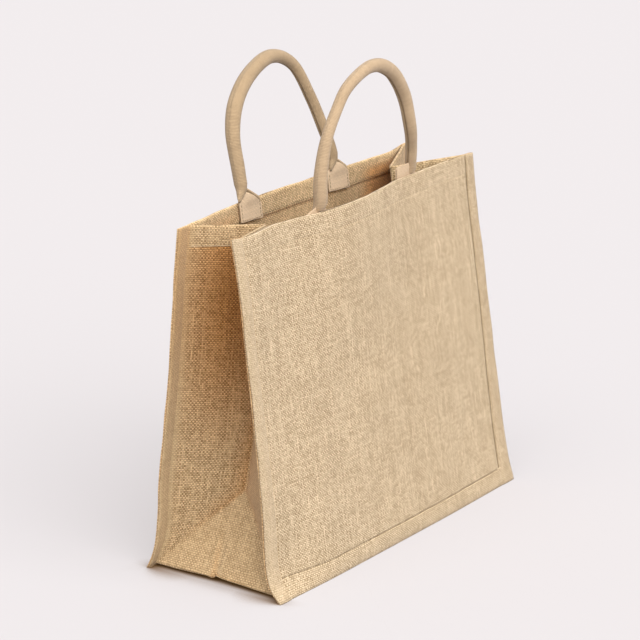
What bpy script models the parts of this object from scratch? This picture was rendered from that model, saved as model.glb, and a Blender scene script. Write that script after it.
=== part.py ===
"""Jute shopping bag that stands open on its base, with two padded webbing handles.

The bag is cut and sewn from three cloths. A front and a back panel stand on the floor and lean
towards each other. One long gusset strip runs down the left side, under the bag and up the right
side. Its edges are sewn to the panels with the seam allowances turned out, which leaves a flange
along both sides and the foot of each panel. The strip folds in at both sides, with the classic
45 degree triangle at each end of the base. Each handle is webbing sewn round a rope, opened flat
at both ends and sewn inside the mouth's hem.

X runs along the bag's width, the front panel faces -Y, and the floor is z = 0. The origin is on
the floor, under the middle of the bag.
"""

from collections import namedtuple
from math import cos, pi, sin

import bpy
from mathutils import Vector

# Driving dimensions, in metres.
HALF_WIDTH = 0.215        # half the width over the side flanges
CLOTH = 0.0015            # one layer of laminated jute
SEWN_GAP = 0.0003         # between two cloths that are sewn face to face
HEM_DEPTH = 0.022         # the mouth's hem, turned in
HEM_EXTRA = 0.0012        # what the turned-in layer adds on the inside
HEM_STEP = 0.001          # height over which the hem's edge steps in
SEAM_X = 0.201            # the side seams, from the middle of the bag
SEAM_Z = 0.010            # the foot seams, above the floor
CORNER_X = 0.2075         # where side and foot seams meet, closer to the flanges' corners
CORNER_Z = 0.0035
CORNER_REACH = 0.040      # length over which the seams turn out towards their corner
HEM_END_X = 0.178         # from here the panels' hems thin out to the side seams
FOLD = 0.083              # half the gusset's width: the size of the fold at each end of the base
SIDE_LENGTH = 0.359       # the gusset's side, along its seams from base to mouth
BASE_SAG = 0.0045         # how far the base hangs below its two seams
SAG_FULLNESS = 0.7        # below 1 the sag is steep beside the seams and level over the middle
NOTCH = 0.0045            # the dent that the gusset's middle crease leaves in the base's end edges
NOTCH_LEAN = 0.5          # how far the dent also leans in, per metre of its height
NOTCH_SHARE = 0.26        # its half width, as a share of half the gusset
NOTCH_HEIGHT = 0.035      # how far up the triangle it fades

# Distance of each panel's outer face from the bag's middle plane, by height: at the panel's left
# edge, over its middle and at its right edge. Left is -X on both panels.
Profile = namedtuple(
    "Profile", "height front_left front_middle front_right back_left back_middle back_right"
)
PROFILES = (
    Profile(0.000, 0.0845, 0.0868, 0.0845, 0.0850, 0.0868, 0.0845),
    Profile(0.006, 0.0790, 0.0860, 0.0832, 0.0818, 0.0860, 0.0835),
    Profile(0.014, 0.0722, 0.0848, 0.0808, 0.0783, 0.0848, 0.0815),
    Profile(0.030, 0.0678, 0.0823, 0.0768, 0.0737, 0.0825, 0.0790),
    Profile(0.060, 0.0657, 0.0776, 0.0708, 0.0697, 0.0785, 0.0750),
    Profile(0.090, 0.0646, 0.0729, 0.0657, 0.0676, 0.0745, 0.0715),
    Profile(0.140, 0.0602, 0.0652, 0.0575, 0.0610, 0.0680, 0.0675),
    Profile(0.190, 0.0548, 0.0574, 0.0503, 0.0542, 0.0620, 0.0637),
    Profile(0.250, 0.0475, 0.0480, 0.0412, 0.0475, 0.0552, 0.0597),
    Profile(0.310, 0.0405, 0.0380, 0.0315, 0.0418, 0.0495, 0.0570),
    Profile(0.3625, 0.0312, 0.0285, 0.0255, 0.0360, 0.0450, 0.0575),
)

# How far in from each edge a panel takes up its middle's distance.
EDGE_REACH = {"front_left": 0.10, "front_right": 0.15, "back_left": 0.12, "back_right": 0.065}

# Slack in the mouth: the panel stands out by `out` round `across`, fading over `half_width` to
# both sides and down to `below` the mouth.
Slack = namedtuple("Slack", "panel across half_width out below")
SLACKS = (
    Slack("front", -0.036, 0.066, 0.0115, 0.20),
    Slack("back", -0.010, 0.100, 0.0020, 0.15),
)

# Height of each panel's mouth edge.
Mouth = namedtuple("Mouth", "across front back")
MOUTHS = (
    Mouth(-0.215, 0.3615, 0.3620),
    Mouth(-0.190, 0.3585, 0.3620),
    Mouth(-0.150, 0.3605, 0.3625),
    Mouth(-0.050, 0.3600, 0.3635),
    Mouth(0.060, 0.3615, 0.3635),
    Mouth(0.150, 0.3620, 0.3637),
    Mouth(0.195, 0.3615, 0.3635),
    Mouth(0.215, 0.3610, 0.3612),
)

# The gusset's inward fold at each side, from the top of the triangle at the base (share 0) to the
# mouth (share 1): distance from the bag's middle, place between the panels, and height.
Fold = namedtuple("Fold", "share left_x left_y left_z right_x right_y right_z")
FOLDS = (
    Fold(0.00, 0.1582, 0.0005, 0.0835, 0.1580, 0.0015, 0.0840),
    Fold(0.09, 0.1510, 0.0005, 0.1070, 0.1515, 0.0030, 0.1080),
    Fold(0.20, 0.1430, 0.0005, 0.1360, 0.1450, 0.0045, 0.1380),
    Fold(0.45, 0.1350, 0.0000, 0.2020, 0.1375, 0.0080, 0.2060),
    Fold(0.73, 0.1270, 0.0010, 0.2780, 0.1310, 0.0130, 0.2830),
    Fold(1.00, 0.1210, 0.0020, 0.3505, 0.1250, 0.0195, 0.3575),
)
BASE_EDGE_X = 0.2065      # the middle of the base's two end edges
BASE_EDGE_Z = 0.0045

# Handles: the rope's centre line, from the left end to the right end.
Route = namedtuple("Route", "across out up")
HANDLE_RADIUS = 0.0070
HANDLE_SIDES = 12
HANDLE_STEP = 0.0095      # length of one straight step along a handle
CURVE_STEPS = 20          # fine steps between two rows of a route, to measure its length
FLAT_SHARE = 0.5          # an end's section this thin, against its width, lies level
FRONT_ROUTE = (
    Route(-0.0750, -0.0350, 0.3760),
    Route(-0.0755, -0.0352, 0.3980),
    Route(-0.0690, -0.0360, 0.4300),
    Route(-0.0520, -0.0365, 0.4570),
    Route(-0.0300, -0.0370, 0.4785),
    Route(0.0060, -0.0370, 0.4920),
    Route(0.0400, -0.0368, 0.4820),
    Route(0.0660, -0.0362, 0.4540),
    Route(0.0785, -0.0355, 0.4180),
    Route(0.0845, -0.0340, 0.3960),
    Route(0.0862, -0.0325, 0.3760),
)
BACK_ROUTE = (
    Route(-0.1060, 0.0422, 0.3760),
    Route(-0.1045, 0.0475, 0.3980),
    Route(-0.1015, 0.0560, 0.4310),
    Route(-0.0860, 0.0635, 0.4590),
    Route(-0.0560, 0.0690, 0.4820),
    Route(-0.0170, 0.0713, 0.4935),
    Route(0.0150, 0.0680, 0.4795),
    Route(0.0345, 0.0595, 0.4430),
    Route(0.0465, 0.0505, 0.4080),
    Route(0.0510, 0.0465, 0.3930),
    Route(0.0535, 0.0430, 0.3760),
)

# The webbing's opened ends, from the bottom of the sewn patch up into the round handle. `aside`
# is how far the section has moved from the patch's middle (0) to the rope's centre line (1).
End = namedtuple("End", "above_mouth aside half_width half_depth")
ENDS = (
    End(-0.0200, 0.00, 0.0190, 0.0009),
    End(-0.0080, 0.00, 0.0190, 0.0009),
    End(0.0020, 0.05, 0.0190, 0.0010),
    End(0.0060, 0.15, 0.0175, 0.0018),
    End(0.0110, 0.55, 0.0125, 0.0040),
    End(0.0175, 0.95, 0.0074, 0.0060),
)
PATCH_GAP = 0.0005        # between a patch and the hem that it is sewn to
PATCH_ASIDE = {"front": -0.0110, "back": 0.0145}    # patch's middle, from the rope's centre line

PANEL_COLUMNS = (
    -0.215, -0.208, -0.201, -0.193, -0.178, -0.160, -0.138, -0.112, -0.086, -0.060, -0.034, -0.008,
    0.018, 0.044, 0.070, 0.098, 0.124, 0.148, 0.170, 0.193, 0.201, 0.208, 0.215,
)
FOLD_STEPS = 8            # rows and columns across half the gusset
FLANGE_COLUMNS = 2        # columns of the gusset's grid outside each seam
UPPER_STEPS = 7           # rows between the triangle's top and the hem
HEM_ROWS = 3              # rows in the hem
CREASE_ANGLE = pi / 6.0   # edges sharper than this are shaded sharp


def smooth(share):
    """Ease from 0 to 1 as share goes from 0 to 1."""
    share = min(max(share, 0.0), 1.0)
    return share * share * (3.0 - 2.0 * share)


def blend(start, end, share):
    """Point or number that lies `share` of the way from start to end."""
    return start + (end - start) * share


def read(table, key, column, at):
    """Value of a table's column on the smooth curve through its rows, at `at` in its key column."""
    keys = [getattr(row, key) for row in table]
    values = [getattr(row, column) for row in table]
    at = min(max(at, keys[0]), keys[-1])
    low = max(i for i in range(len(keys) - 1) if keys[i] <= at)
    span = keys[low + 1] - keys[low]
    share = (at - keys[low]) / span

    def slope(i):
        before, after = max(i - 1, 0), min(i + 1, len(keys) - 1)
        return (values[after] - values[before]) / (keys[after] - keys[before])

    ease = smooth(share)
    rise = span * (share - 1.0) * share * (slope(low) * (share - 1.0) + slope(low + 1) * share)
    return blend(values[low], values[low + 1], ease) + rise


def face_depth(panel, across, height):
    """Distance of a panel's outer face from the bag's middle plane."""
    depth = read(PROFILES, "height", panel + "_middle", height)
    middle = depth
    for edge, inset in (("left", across + HALF_WIDTH), ("right", HALF_WIDTH - across)):
        name = panel + "_" + edge
        near = smooth(1.0 - inset / EDGE_REACH[name])
        depth += (read(PROFILES, "height", name, height) - middle) * near
    for slack in SLACKS:
        if slack.panel == panel:
            beside = smooth(1.0 - abs(across - slack.across) / (2.0 * slack.half_width))
            depth += slack.out * beside * smooth(1.0 - (PROFILES[-1].height - height) / slack.below)
    return depth


def mouth_height(panel, across):
    """Height of a panel's upper edge."""
    return read(MOUTHS, "across", panel, across)


def facing(panel):
    """Sign of Y on the panel's side of the bag."""
    return -1.0 if panel == "front" else 1.0


def row_levels():
    """Distances up the cloth, from the base's corner to the mouth, at which both panels and the
    gusset have a row of points, so that their flanges lie parallel."""
    levels = [step / FOLD_STEPS * FOLD for step in range(FOLD_STEPS + 1)]
    hem_start = SIDE_LENGTH - HEM_DEPTH - HEM_STEP
    levels += [blend(FOLD, hem_start, step / UPPER_STEPS) for step in range(1, UPPER_STEPS + 1)]
    return levels + [SIDE_LENGTH - HEM_DEPTH, SIDE_LENGTH - HEM_DEPTH / 2.0, SIDE_LENGTH]


def row_height(panel, across, up):
    """Height of the row of points that lies `up` along the cloth."""
    return blend(CORNER_Z, mouth_height(panel, across), up / SIDE_LENGTH)


def grid_faces(columns, rows, split):
    """Triangles of a grid of points; split(column, row) says which way a cell is cut."""
    faces = []
    for row in range(rows - 1):
        for column in range(columns - 1):
            a = row * columns + column
            b, c, d = a + 1, a + columns + 1, a + columns
            faces += [(a, b, c), (a, c, d)] if split(column, row) else [(a, b, d), (b, c, d)]
    return faces


def add_object(name, points, faces, material):
    """Named object with one material, from points and faces."""
    mesh = bpy.data.meshes.new(name)
    mesh.from_pydata([tuple(point) for point in points], [], faces)
    mesh.validate()
    mesh.materials.append(material)
    mesh.shade_smooth()
    mesh.set_sharp_from_angle(angle=CREASE_ANGLE)
    item = bpy.data.objects.new(name, mesh)
    bpy.context.collection.objects.link(item)
    return item


def add_sheet(name, outer, inner, material, split=lambda column, row: True):
    """Closed sheet between two grids of points, each a list of rows.

    Seen with the rows going up and the columns to the right, the outer face is on the near side.
    """
    rows, columns = len(outer), len(outer[0])
    count = rows * columns
    points = [point for row in outer for point in row] + [point for row in inner for point in row]
    front = grid_faces(columns, rows, split)
    faces = front + [tuple(i + count for i in reversed(face)) for face in front]
    rim = list(range(columns))
    rim += [row * columns + columns - 1 for row in range(1, rows)]
    rim += [(rows - 1) * columns + column for column in range(columns - 2, -1, -1)]
    rim += [row * columns for row in range(rows - 2, 0, -1)]
    for i, here in enumerate(rim):
        there = rim[(i + 1) % len(rim)]
        faces += [(there, here, here + count), (there, here + count, there + count)]
    return add_object(name, points, faces, material)


def make_panel(panel, material):
    """One panel: a sheet that stands on its foot, with its hem turned in at the mouth."""
    turn = facing(panel)
    outer, inner = [], []
    for up in [None] + row_levels():
        outer_row, inner_row = [], []
        for column in PANEL_COLUMNS:
            across = -turn * column
            height = 0.0 if up is None else row_height(panel, across, up)
            hemmed = up is not None and up >= SIDE_LENGTH - HEM_DEPTH and abs(across) <= HEM_END_X
            depth = face_depth(panel, across, height)
            thick = CLOTH + (HEM_EXTRA if hemmed else 0.0)
            outer_row.append(Vector((across, turn * depth, height)))
            inner_row.append(Vector((across, turn * (depth - thick), height)))
        outer.append(outer_row)
        inner.append(inner_row)
    return add_sheet(panel + "_panel", outer, inner, material)


def sewn_point(panel, across, height):
    """Middle of the gusset's cloth where it lies flat against a panel."""
    depth = face_depth(panel, across, height) - CLOTH - SEWN_GAP - CLOTH / 2.0
    return Vector((across, facing(panel) * depth, height))


def side_seam(panel, side, height):
    """Point of a side seam, which turns out towards the corner near the floor."""
    out = smooth(1.0 - (height - CORNER_Z) / CORNER_REACH)
    return sewn_point(panel, side * blend(SEAM_X, CORNER_X, out), height)


def foot_seam(panel, across):
    """Point of a foot seam, which turns down towards the corner near both ends."""
    rise = smooth((CORNER_X - abs(across)) / CORNER_REACH)
    return sewn_point(panel, across, blend(CORNER_Z, SEAM_Z, rise))


def fold_point(side, share):
    """Point of the gusset's inward fold above the triangle."""
    name = "left" if side < 0 else "right"
    x, y, z = (read(FOLDS, "share", name + "_" + axis, share) for axis in "xyz")
    return Vector((side * x, y, z))


def side_row(side, up):
    """Points across the gusset's side, `up` along the cloth, from front flange to back flange.

    Below the triangle's top a fold runs from each corner of the base to that top, and above it
    there is one fold up to the mouth.
    """
    apex = fold_point(side, 0.0)
    base_middle = Vector((side * BASE_EDGE_X, apex.y, BASE_EDGE_Z))
    rise = min(up / FOLD, 1.0)
    row = []
    for panel, start, stop in (("front", -FOLD_STEPS, 1), ("back", 1, FOLD_STEPS + 1)):
        seam = side_seam(panel, side, row_height(panel, side * SEAM_X, up))
        corner = side_seam(panel, side, CORNER_Z)
        flange = []
        for out in (1.0, 0.5):
            edge = blend(seam.x, side * HALF_WIDTH, out)
            height = row_height(panel, edge, up) if up else blend(CORNER_Z, 0.0, out)
            flange.append(sewn_point(panel, edge, height))
        crease = blend(corner, apex, rise)
        if up > FOLD:
            crease = fold_point(side, (up - FOLD) / (SIDE_LENGTH - FOLD))
        middle = blend(base_middle, apex, rise)
        halves = []
        for place in range(start, stop):
            inward = 1.0 - abs(place) / FOLD_STEPS
            if inward <= rise:
                halves.append(blend(seam, crease, inward / rise if rise else 0.0))
                continue
            point = blend(crease, middle, (inward - rise) / (1.0 - rise))
            dent = NOTCH * smooth(1.0 - (1.0 - inward) / NOTCH_SHARE) * smooth(1.0 - up / NOTCH_HEIGHT)
            halves.append(point + Vector((-side * NOTCH_LEAN * dent, 0.0, dent)))
        row += flange + halves if panel == "front" else halves + flange[::-1]
    return row


def base_row(across):
    """Points across the base, from front flange to back flange."""
    front, back = foot_seam("front", across), foot_seam("back", across)
    row = [sewn_point("front", across, 0.0), sewn_point("front", across, front.z / 2.0)]
    for step in range(2 * FOLD_STEPS + 1):
        place = step / (2.0 * FOLD_STEPS)
        point = blend(front, back, place)
        point.z = blend(point.z, SEAM_Z - BASE_SAG, sin(pi * place) ** SAG_FULLNESS)
        row.append(point)
    row += [sewn_point("back", across, back.z / 2.0), sewn_point("back", across, 0.0)]
    return row


def make_gusset(material):
    """The one strip that is both sides and the base, thickened to both sides of its middle."""
    levels = row_levels()
    middle = [side_row(-1, up) for up in reversed(levels)]
    middle += [base_row(across) for across in PANEL_COLUMNS if abs(across) <= SEAM_X]
    middle += [side_row(1, up) for up in levels]
    rows, columns = len(middle), len(middle[0])
    outer, inner = [], []
    for r in range(rows):
        outer_row, inner_row = [], []
        for c in range(columns):
            along = middle[min(r + 1, rows - 1)][c] - middle[max(r - 1, 0)][c]
            over = middle[r][min(c + 1, columns - 1)] - middle[r][max(c - 1, 0)]
            inside = along.cross(over).normalized()
            if min(c, columns - 1 - c) < FLANGE_COLUMNS:
                inside = Vector((0.0, facing("front" if c < FLANGE_COLUMNS else "back"), 0.0))
            between_seams = FLANGE_COLUMNS < c < columns - 1 - FLANGE_COLUMNS
            hemmed = between_seams and min(r, rows - 1 - r) < HEM_ROWS
            thick = CLOTH / 2.0 + (HEM_EXTRA if hemmed else 0.0)
            outer_row.append(middle[r][c] - inside * CLOTH / 2.0)
            inner_row.append(middle[r][c] + inside * thick)
        outer.append(outer_row)
        inner.append(inner_row)

    def split(column, row):
        """Cells are cut along the triangles' folds, which lean the other way on the left."""
        on_left_triangle = len(levels) - 1 - FOLD_STEPS <= row < len(levels) - 1
        front_half = column < FLANGE_COLUMNS + FOLD_STEPS
        return front_half != on_left_triangle

    return add_sheet("gusset", outer, inner, material, split)


def route_points(route):
    """Evenly spaced points on the smooth curve through a route's rows."""
    knots = [Vector(row) for row in route]
    fine = []
    for i in range(len(knots) - 1):
        before = knots[i - 1] if i else knots[i] * 2.0 - knots[i + 1]
        after = knots[i + 2] if i + 2 < len(knots) else knots[i + 1] * 2.0 - knots[i]
        near, far = knots[i], knots[i + 1]
        for step in range(CURVE_STEPS):
            t = step / CURVE_STEPS
            fine.append(0.5 * (
                2.0 * near + (far - before) * t
                + (2.0 * before - 5.0 * near + 4.0 * far - after) * t ** 2
                + (3.0 * near - before - 3.0 * far + after) * t ** 3
            ))
    fine.append(knots[-1])
    length = sum((fine[i + 1] - fine[i]).length for i in range(len(fine) - 1))
    count = round(length / HANDLE_STEP)
    points, walked, target = [fine[0]], 0.0, 1
    for i in range(len(fine) - 1):
        walked += (fine[i + 1] - fine[i]).length
        if target < count and walked >= target * length / count:
            points.append(fine[i + 1])
            target += 1
    points.append(fine[-1])
    return points


def end_sections(panel, foot):
    """Sections of a handle's opened end, from the patch's bottom up to the rope at `foot`."""
    patch_across = foot.x + PATCH_ASIDE[panel]
    mouth = mouth_height(panel, patch_across)
    sections = []
    for end in ENDS:
        height = mouth + end.above_mouth
        beside = [patch_across + place * end.half_width for place in (-1.0, 0.0, 1.0)]
        wall = min(face_depth(panel, across, min(height, mouth)) for across in beside)
        wall -= CLOTH + HEM_EXTRA
        sewn = facing(panel) * (wall - PATCH_GAP - ENDS[0].half_depth)
        rope = Vector((foot.x, foot.y, height))
        centre = blend(Vector((patch_across, sewn, height)), rope, end.aside)
        sections.append((centre, end.half_width, end.half_depth))
    return sections


def make_handle(panel, route, material):
    """One handle: a round padded arch whose two ends open into flat sewn patches."""
    points = route_points(route)
    sections = end_sections(panel, points[0])
    sections += [(point, HANDLE_RADIUS, HANDLE_RADIUS) for point in points[1:-1]]
    sections += reversed(end_sections(panel, points[-1]))
    rings = []
    for i, (centre, half_width, half_depth) in enumerate(sections):
        before, after = sections[max(i - 1, 0)][0], sections[min(i + 1, len(sections) - 1)][0]
        tangent = (after - before).normalized()
        if half_depth < FLAT_SHARE * half_width:
            tangent = Vector((0.0, 0.0, 1.0 if i < len(sections) / 2 else -1.0))
        out = Vector((0.0, 1.0, 0.0))
        out = (out - tangent * out.dot(tangent)).normalized()
        aside = out.cross(tangent)
        ring = []
        for side in range(HANDLE_SIDES):
            angle = 2.0 * pi * (side + 0.5) / HANDLE_SIDES
            ring.append(centre + aside * half_width * cos(angle) + out * half_depth * sin(angle))
        rings.append(ring)
    sides, count = HANDLE_SIDES, len(rings)
    vertices = [point for ring in rings for point in ring]
    faces = [tuple(reversed(range(sides))), tuple((count - 1) * sides + i for i in range(sides))]
    for ring in range(count - 1):
        for side in range(sides):
            a, b = ring * sides + side, ring * sides + (side + 1) % sides
            faces.append((a, b, b + sides, a + sides))
    return add_object(panel + "_handle", vertices, faces, material)


def make_material(name, colour, roughness):
    """Plain material of one sub-part."""
    material = bpy.data.materials.new(name)
    material.use_nodes = True
    shader = material.node_tree.nodes["Principled BSDF"]
    shader.inputs["Base Color"].default_value = (*colour, 1.0)
    shader.inputs["Roughness"].default_value = roughness
    shader.inputs["Metallic"].default_value = 0.0
    return material


def main():
    for item in list(bpy.data.objects):
        bpy.data.objects.remove(item, do_unlink=True)
    front_cloth = make_material("front_jute", (0.66, 0.48, 0.27), 0.9)
    back_cloth = make_material("back_jute", (0.62, 0.44, 0.24), 0.9)
    gusset_cloth = make_material("gusset_jute", (0.60, 0.41, 0.20), 0.9)
    front_webbing = make_material("front_webbing", (0.66, 0.48, 0.32), 0.8)
    back_webbing = make_material("back_webbing", (0.64, 0.46, 0.30), 0.8)
    make_panel("front", front_cloth)
    make_panel("back", back_cloth)
    make_gusset(gusset_cloth)
    make_handle("front", FRONT_ROUTE, front_webbing)
    make_handle("back", BACK_ROUTE, back_webbing)


main()
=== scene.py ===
"""Jute shopping bag that stands open on its base: cloth, webbing, sewing and studio.

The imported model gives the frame. Each of its solids is replaced by a finer piece of cloth or
webbing, with the weave in its material. The handles' sewn ends stand up to 15 mm off those of the
solids, and the rest is in the same place. Lengths are in metres, X runs along the bag's width, the
front panel faces -Y, and the floor is z = 0.
"""

from collections import namedtuple
from math import cos, pi, radians, sin

import bpy
import numpy as np
from bpy.props import FloatProperty, FloatVectorProperty, PointerProperty
from mathutils import Matrix, Vector


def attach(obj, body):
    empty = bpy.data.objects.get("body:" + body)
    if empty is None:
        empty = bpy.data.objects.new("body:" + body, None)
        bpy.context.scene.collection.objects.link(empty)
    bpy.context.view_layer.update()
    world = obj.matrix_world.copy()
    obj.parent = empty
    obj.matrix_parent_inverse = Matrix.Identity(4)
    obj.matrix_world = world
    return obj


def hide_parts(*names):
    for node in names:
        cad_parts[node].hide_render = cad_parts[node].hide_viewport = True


bl_info = {
    "name": "Jute Shopping Bag",
    "version": (1, 0, 0),
    "blender": (4, 5, 0),
    "location": "View3D > Sidebar > Jute Bag",
    "description": "Cloth, webbing, sewing and studio for a standing jute shopping bag",
    "category": "Object",
}

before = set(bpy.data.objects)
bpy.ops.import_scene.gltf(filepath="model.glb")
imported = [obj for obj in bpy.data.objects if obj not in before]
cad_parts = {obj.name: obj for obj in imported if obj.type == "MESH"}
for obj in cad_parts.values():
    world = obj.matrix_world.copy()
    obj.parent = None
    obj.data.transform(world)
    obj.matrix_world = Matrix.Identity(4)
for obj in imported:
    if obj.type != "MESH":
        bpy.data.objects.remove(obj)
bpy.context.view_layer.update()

# The bag's main shape, as in its solids.
HALF_WIDTH = 0.215
CLOTH = 0.0015            # one layer of laminated jute
SEWN_GAP = 0.0003
HEM_DEPTH = 0.022
HEM_EXTRA = 0.0012        # what the turned-in layer adds on the inside
HEM_SEWING = 0.0015       # how far inside a hem its line of sewing runs
SEAM_X = 0.201            # side seams between panels and gusset
SEAM_Z = 0.010            # foot seams
CORNER_X = 0.2075         # where side and foot seams meet
CORNER_Z = 0.0035
CORNER_REACH = 0.040
HEM_END_X = 0.178         # the panels' hems thin out from here to the side seams
FOLD = 0.083              # half the gusset's width
ALLOWANCE = 0.0145        # the gusset's seam allowance at its sides
SIDE_LENGTH = 0.359       # the gusset's side, along its seams from base to mouth
BASE_SAG = 0.0045
SAG_FULLNESS = 0.7
NOTCH = 0.0026            # dent that the gusset's middle crease leaves in the base's end edges
NOTCH_OVER = 0.0035       # how far behind the middle it lies, and how far it leans back above
NOTCH_LEAN = 0.0065
NOTCH_HEIGHT = 0.045
BASE_EDGE_X = 0.2065
BASE_EDGE_Z = 0.0045
PANEL_HEIGHT = 0.3625     # the height up to which the profiles run

Profile = namedtuple(
    "Profile", "height front_left front_middle front_right back_left back_middle back_right"
)
PROFILES = (
    Profile(0.000, 0.0845, 0.0868, 0.0845, 0.0850, 0.0868, 0.0845),
    Profile(0.006, 0.0790, 0.0860, 0.0832, 0.0818, 0.0860, 0.0835),
    Profile(0.014, 0.0722, 0.0848, 0.0808, 0.0783, 0.0848, 0.0815),
    Profile(0.030, 0.0678, 0.0823, 0.0768, 0.0737, 0.0825, 0.0790),
    Profile(0.060, 0.0657, 0.0776, 0.0708, 0.0697, 0.0785, 0.0750),
    Profile(0.090, 0.0646, 0.0729, 0.0657, 0.0676, 0.0745, 0.0715),
    Profile(0.140, 0.0602, 0.0652, 0.0575, 0.0610, 0.0680, 0.0675),
    Profile(0.190, 0.0548, 0.0574, 0.0503, 0.0542, 0.0620, 0.0637),
    Profile(0.250, 0.0475, 0.0480, 0.0412, 0.0475, 0.0552, 0.0597),
    Profile(0.310, 0.0405, 0.0380, 0.0315, 0.0418, 0.0495, 0.0570),
    Profile(0.3625, 0.0312, 0.0285, 0.0255, 0.0360, 0.0450, 0.0575),
)
EDGE_REACH = {"front_left": 0.10, "front_right": 0.15, "back_left": 0.12, "back_right": 0.065}

Slack = namedtuple("Slack", "panel across half_width out below")
SLACKS = (
    Slack("front", -0.036, 0.066, 0.0115, 0.20),
    Slack("back", -0.010, 0.100, 0.0020, 0.15),
)

Mouth = namedtuple("Mouth", "across front back")
MOUTHS = (
    Mouth(-0.215, 0.3615, 0.3620),
    Mouth(-0.190, 0.3585, 0.3620),
    Mouth(-0.150, 0.3605, 0.3625),
    Mouth(-0.050, 0.3600, 0.3635),
    Mouth(0.060, 0.3615, 0.3635),
    Mouth(0.150, 0.3620, 0.3637),
    Mouth(0.195, 0.3615, 0.3635),
    Mouth(0.215, 0.3610, 0.3612),
)

Fold = namedtuple("Fold", "share left_x left_y left_z right_x right_y right_z")
FOLDS = (
    Fold(0.00, 0.1582, 0.0005, 0.0835, 0.1580, 0.0015, 0.0840),
    Fold(0.09, 0.1510, 0.0005, 0.1070, 0.1515, 0.0030, 0.1080),
    Fold(0.20, 0.1430, 0.0005, 0.1360, 0.1450, 0.0045, 0.1380),
    Fold(0.45, 0.1350, 0.0000, 0.2020, 0.1375, 0.0080, 0.2060),
    Fold(0.73, 0.1270, 0.0010, 0.2780, 0.1310, 0.0130, 0.2830),
    Fold(1.00, 0.1210, 0.0020, 0.3505, 0.1250, 0.0195, 0.3575),
)

# Handles: the rope's centre line, from the left end to the right end, and how thick the webbing
# round it is at each row, as a share of HANDLE_RADIUS.
Route = namedtuple("Route", "across out up size")
ROUTES = {
    "front": (
        Route(-0.0775, -0.0350, 0.3760, 1.05),
        Route(-0.0772, -0.0352, 0.3980, 0.98),
        Route(-0.0692, -0.0360, 0.4300, 0.87),
        Route(-0.0527, -0.0365, 0.4570, 0.81),
        Route(-0.0327, -0.0370, 0.4785, 0.85),
        Route(0.0060, -0.0370, 0.4920, 0.93),
        Route(0.0396, -0.0368, 0.4825, 1.08),
        Route(0.0652, -0.0362, 0.4540, 1.05),
        Route(0.0790, -0.0355, 0.4180, 0.97),
        Route(0.0905, -0.0296, 0.3940, 0.87),
        Route(0.0978, -0.0240, 0.3715, 0.85),
    ),
    "back": (
        Route(-0.1045, 0.0430, 0.3800, 0.95),
        Route(-0.1032, 0.0475, 0.3980, 0.98),
        Route(-0.1000, 0.0560, 0.4310, 1.06),
        Route(-0.0846, 0.0635, 0.4590, 1.14),
        Route(-0.0552, 0.0690, 0.4815, 1.14),
        Route(-0.0160, 0.0713, 0.4935, 1.02),
        Route(0.0174, 0.0680, 0.4800, 0.88),
        Route(0.0368, 0.0595, 0.4430, 0.86),
        Route(0.0472, 0.0505, 0.4080, 0.86),
        Route(0.0510, 0.0465, 0.3930, 0.88),
        Route(0.0530, 0.0438, 0.3800, 0.90),
    ),
}
HANDLE_RADIUS = 0.0070

# Lines of topstitching. Distance of each side line from its edge, by height.
SideLine = namedtuple("SideLine", "height front_left front_right back_left back_right")
SIDE_LINES = (
    SideLine(0.000, 0.0190, 0.0240, 0.0190, 0.0190),
    SideLine(0.060, 0.0180, 0.0215, 0.0175, 0.0175),
    SideLine(0.160, 0.0165, 0.0185, 0.0160, 0.0160),
    SideLine(0.3625, 0.0145, 0.0148, 0.0145, 0.0145),
)
SIDE_LINE = 0.199         # the same line's place on the cloth's grid, from the middle
FOOT_LINE = 0.0186
HEM_LINE = PANEL_HEIGHT - HEM_DEPTH + HEM_SEWING

# How deep each side line pulls into its panel, and how far the band beside it stands out, left
# and right.
GROOVES = {"front": (0.0007, 0.0010), "back": (0.0007, 0.0007)}
BANDS = {"front": (0.0008, 0.0006), "back": (0.0006, 0.0006)}
GROOVE_HALF_WIDTH = 0.0009

# The handles' sewn ends: which way the opened webbing reaches from the leg, and how far above the
# mouth its top edge stands beside the leg and at its far edge. Aside is the shift of its middle,
# and the drops are how much lower the front layer's top edge is.
SewnEnd = namedtuple("SewnEnd", "panel at_end wing near far aside near_drop far_drop")
SEWN_ENDS = (
    SewnEnd("front", 0, -1, 0.0055, -0.0055, 0.0090, 0.0030, 0.0020),
    SewnEnd("front", -1, -1, 0.0130, 0.0115, 0.0110, 0.0030, 0.0020),
    SewnEnd("back", 0, 1, 0.0187, 0.0009, 0.0115, 0.0076, 0.0062),
    SewnEnd("back", -1, 1, 0.0170, 0.0027, 0.0055, 0.0070, 0.0056),
)
PATCH_HALF_WIDTH = 0.0178
PATCH_BELOW = 0.0210      # how far a patch reaches below the mouth, and how much further at
PATCH_TILT = 0.0022       # its far edge
PATCH_SLANT = {"front": 0.0, "back": 0.27}   # shift to the right for each unit down
PATCH_GAP = 0.0004
WEBBING = 0.0011          # the webbing's thickness
LAYER_GAP = 0.0002        # between a patch's two layers
GAPE = 0.0022             # what the front layer's gape adds to that at most

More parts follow.
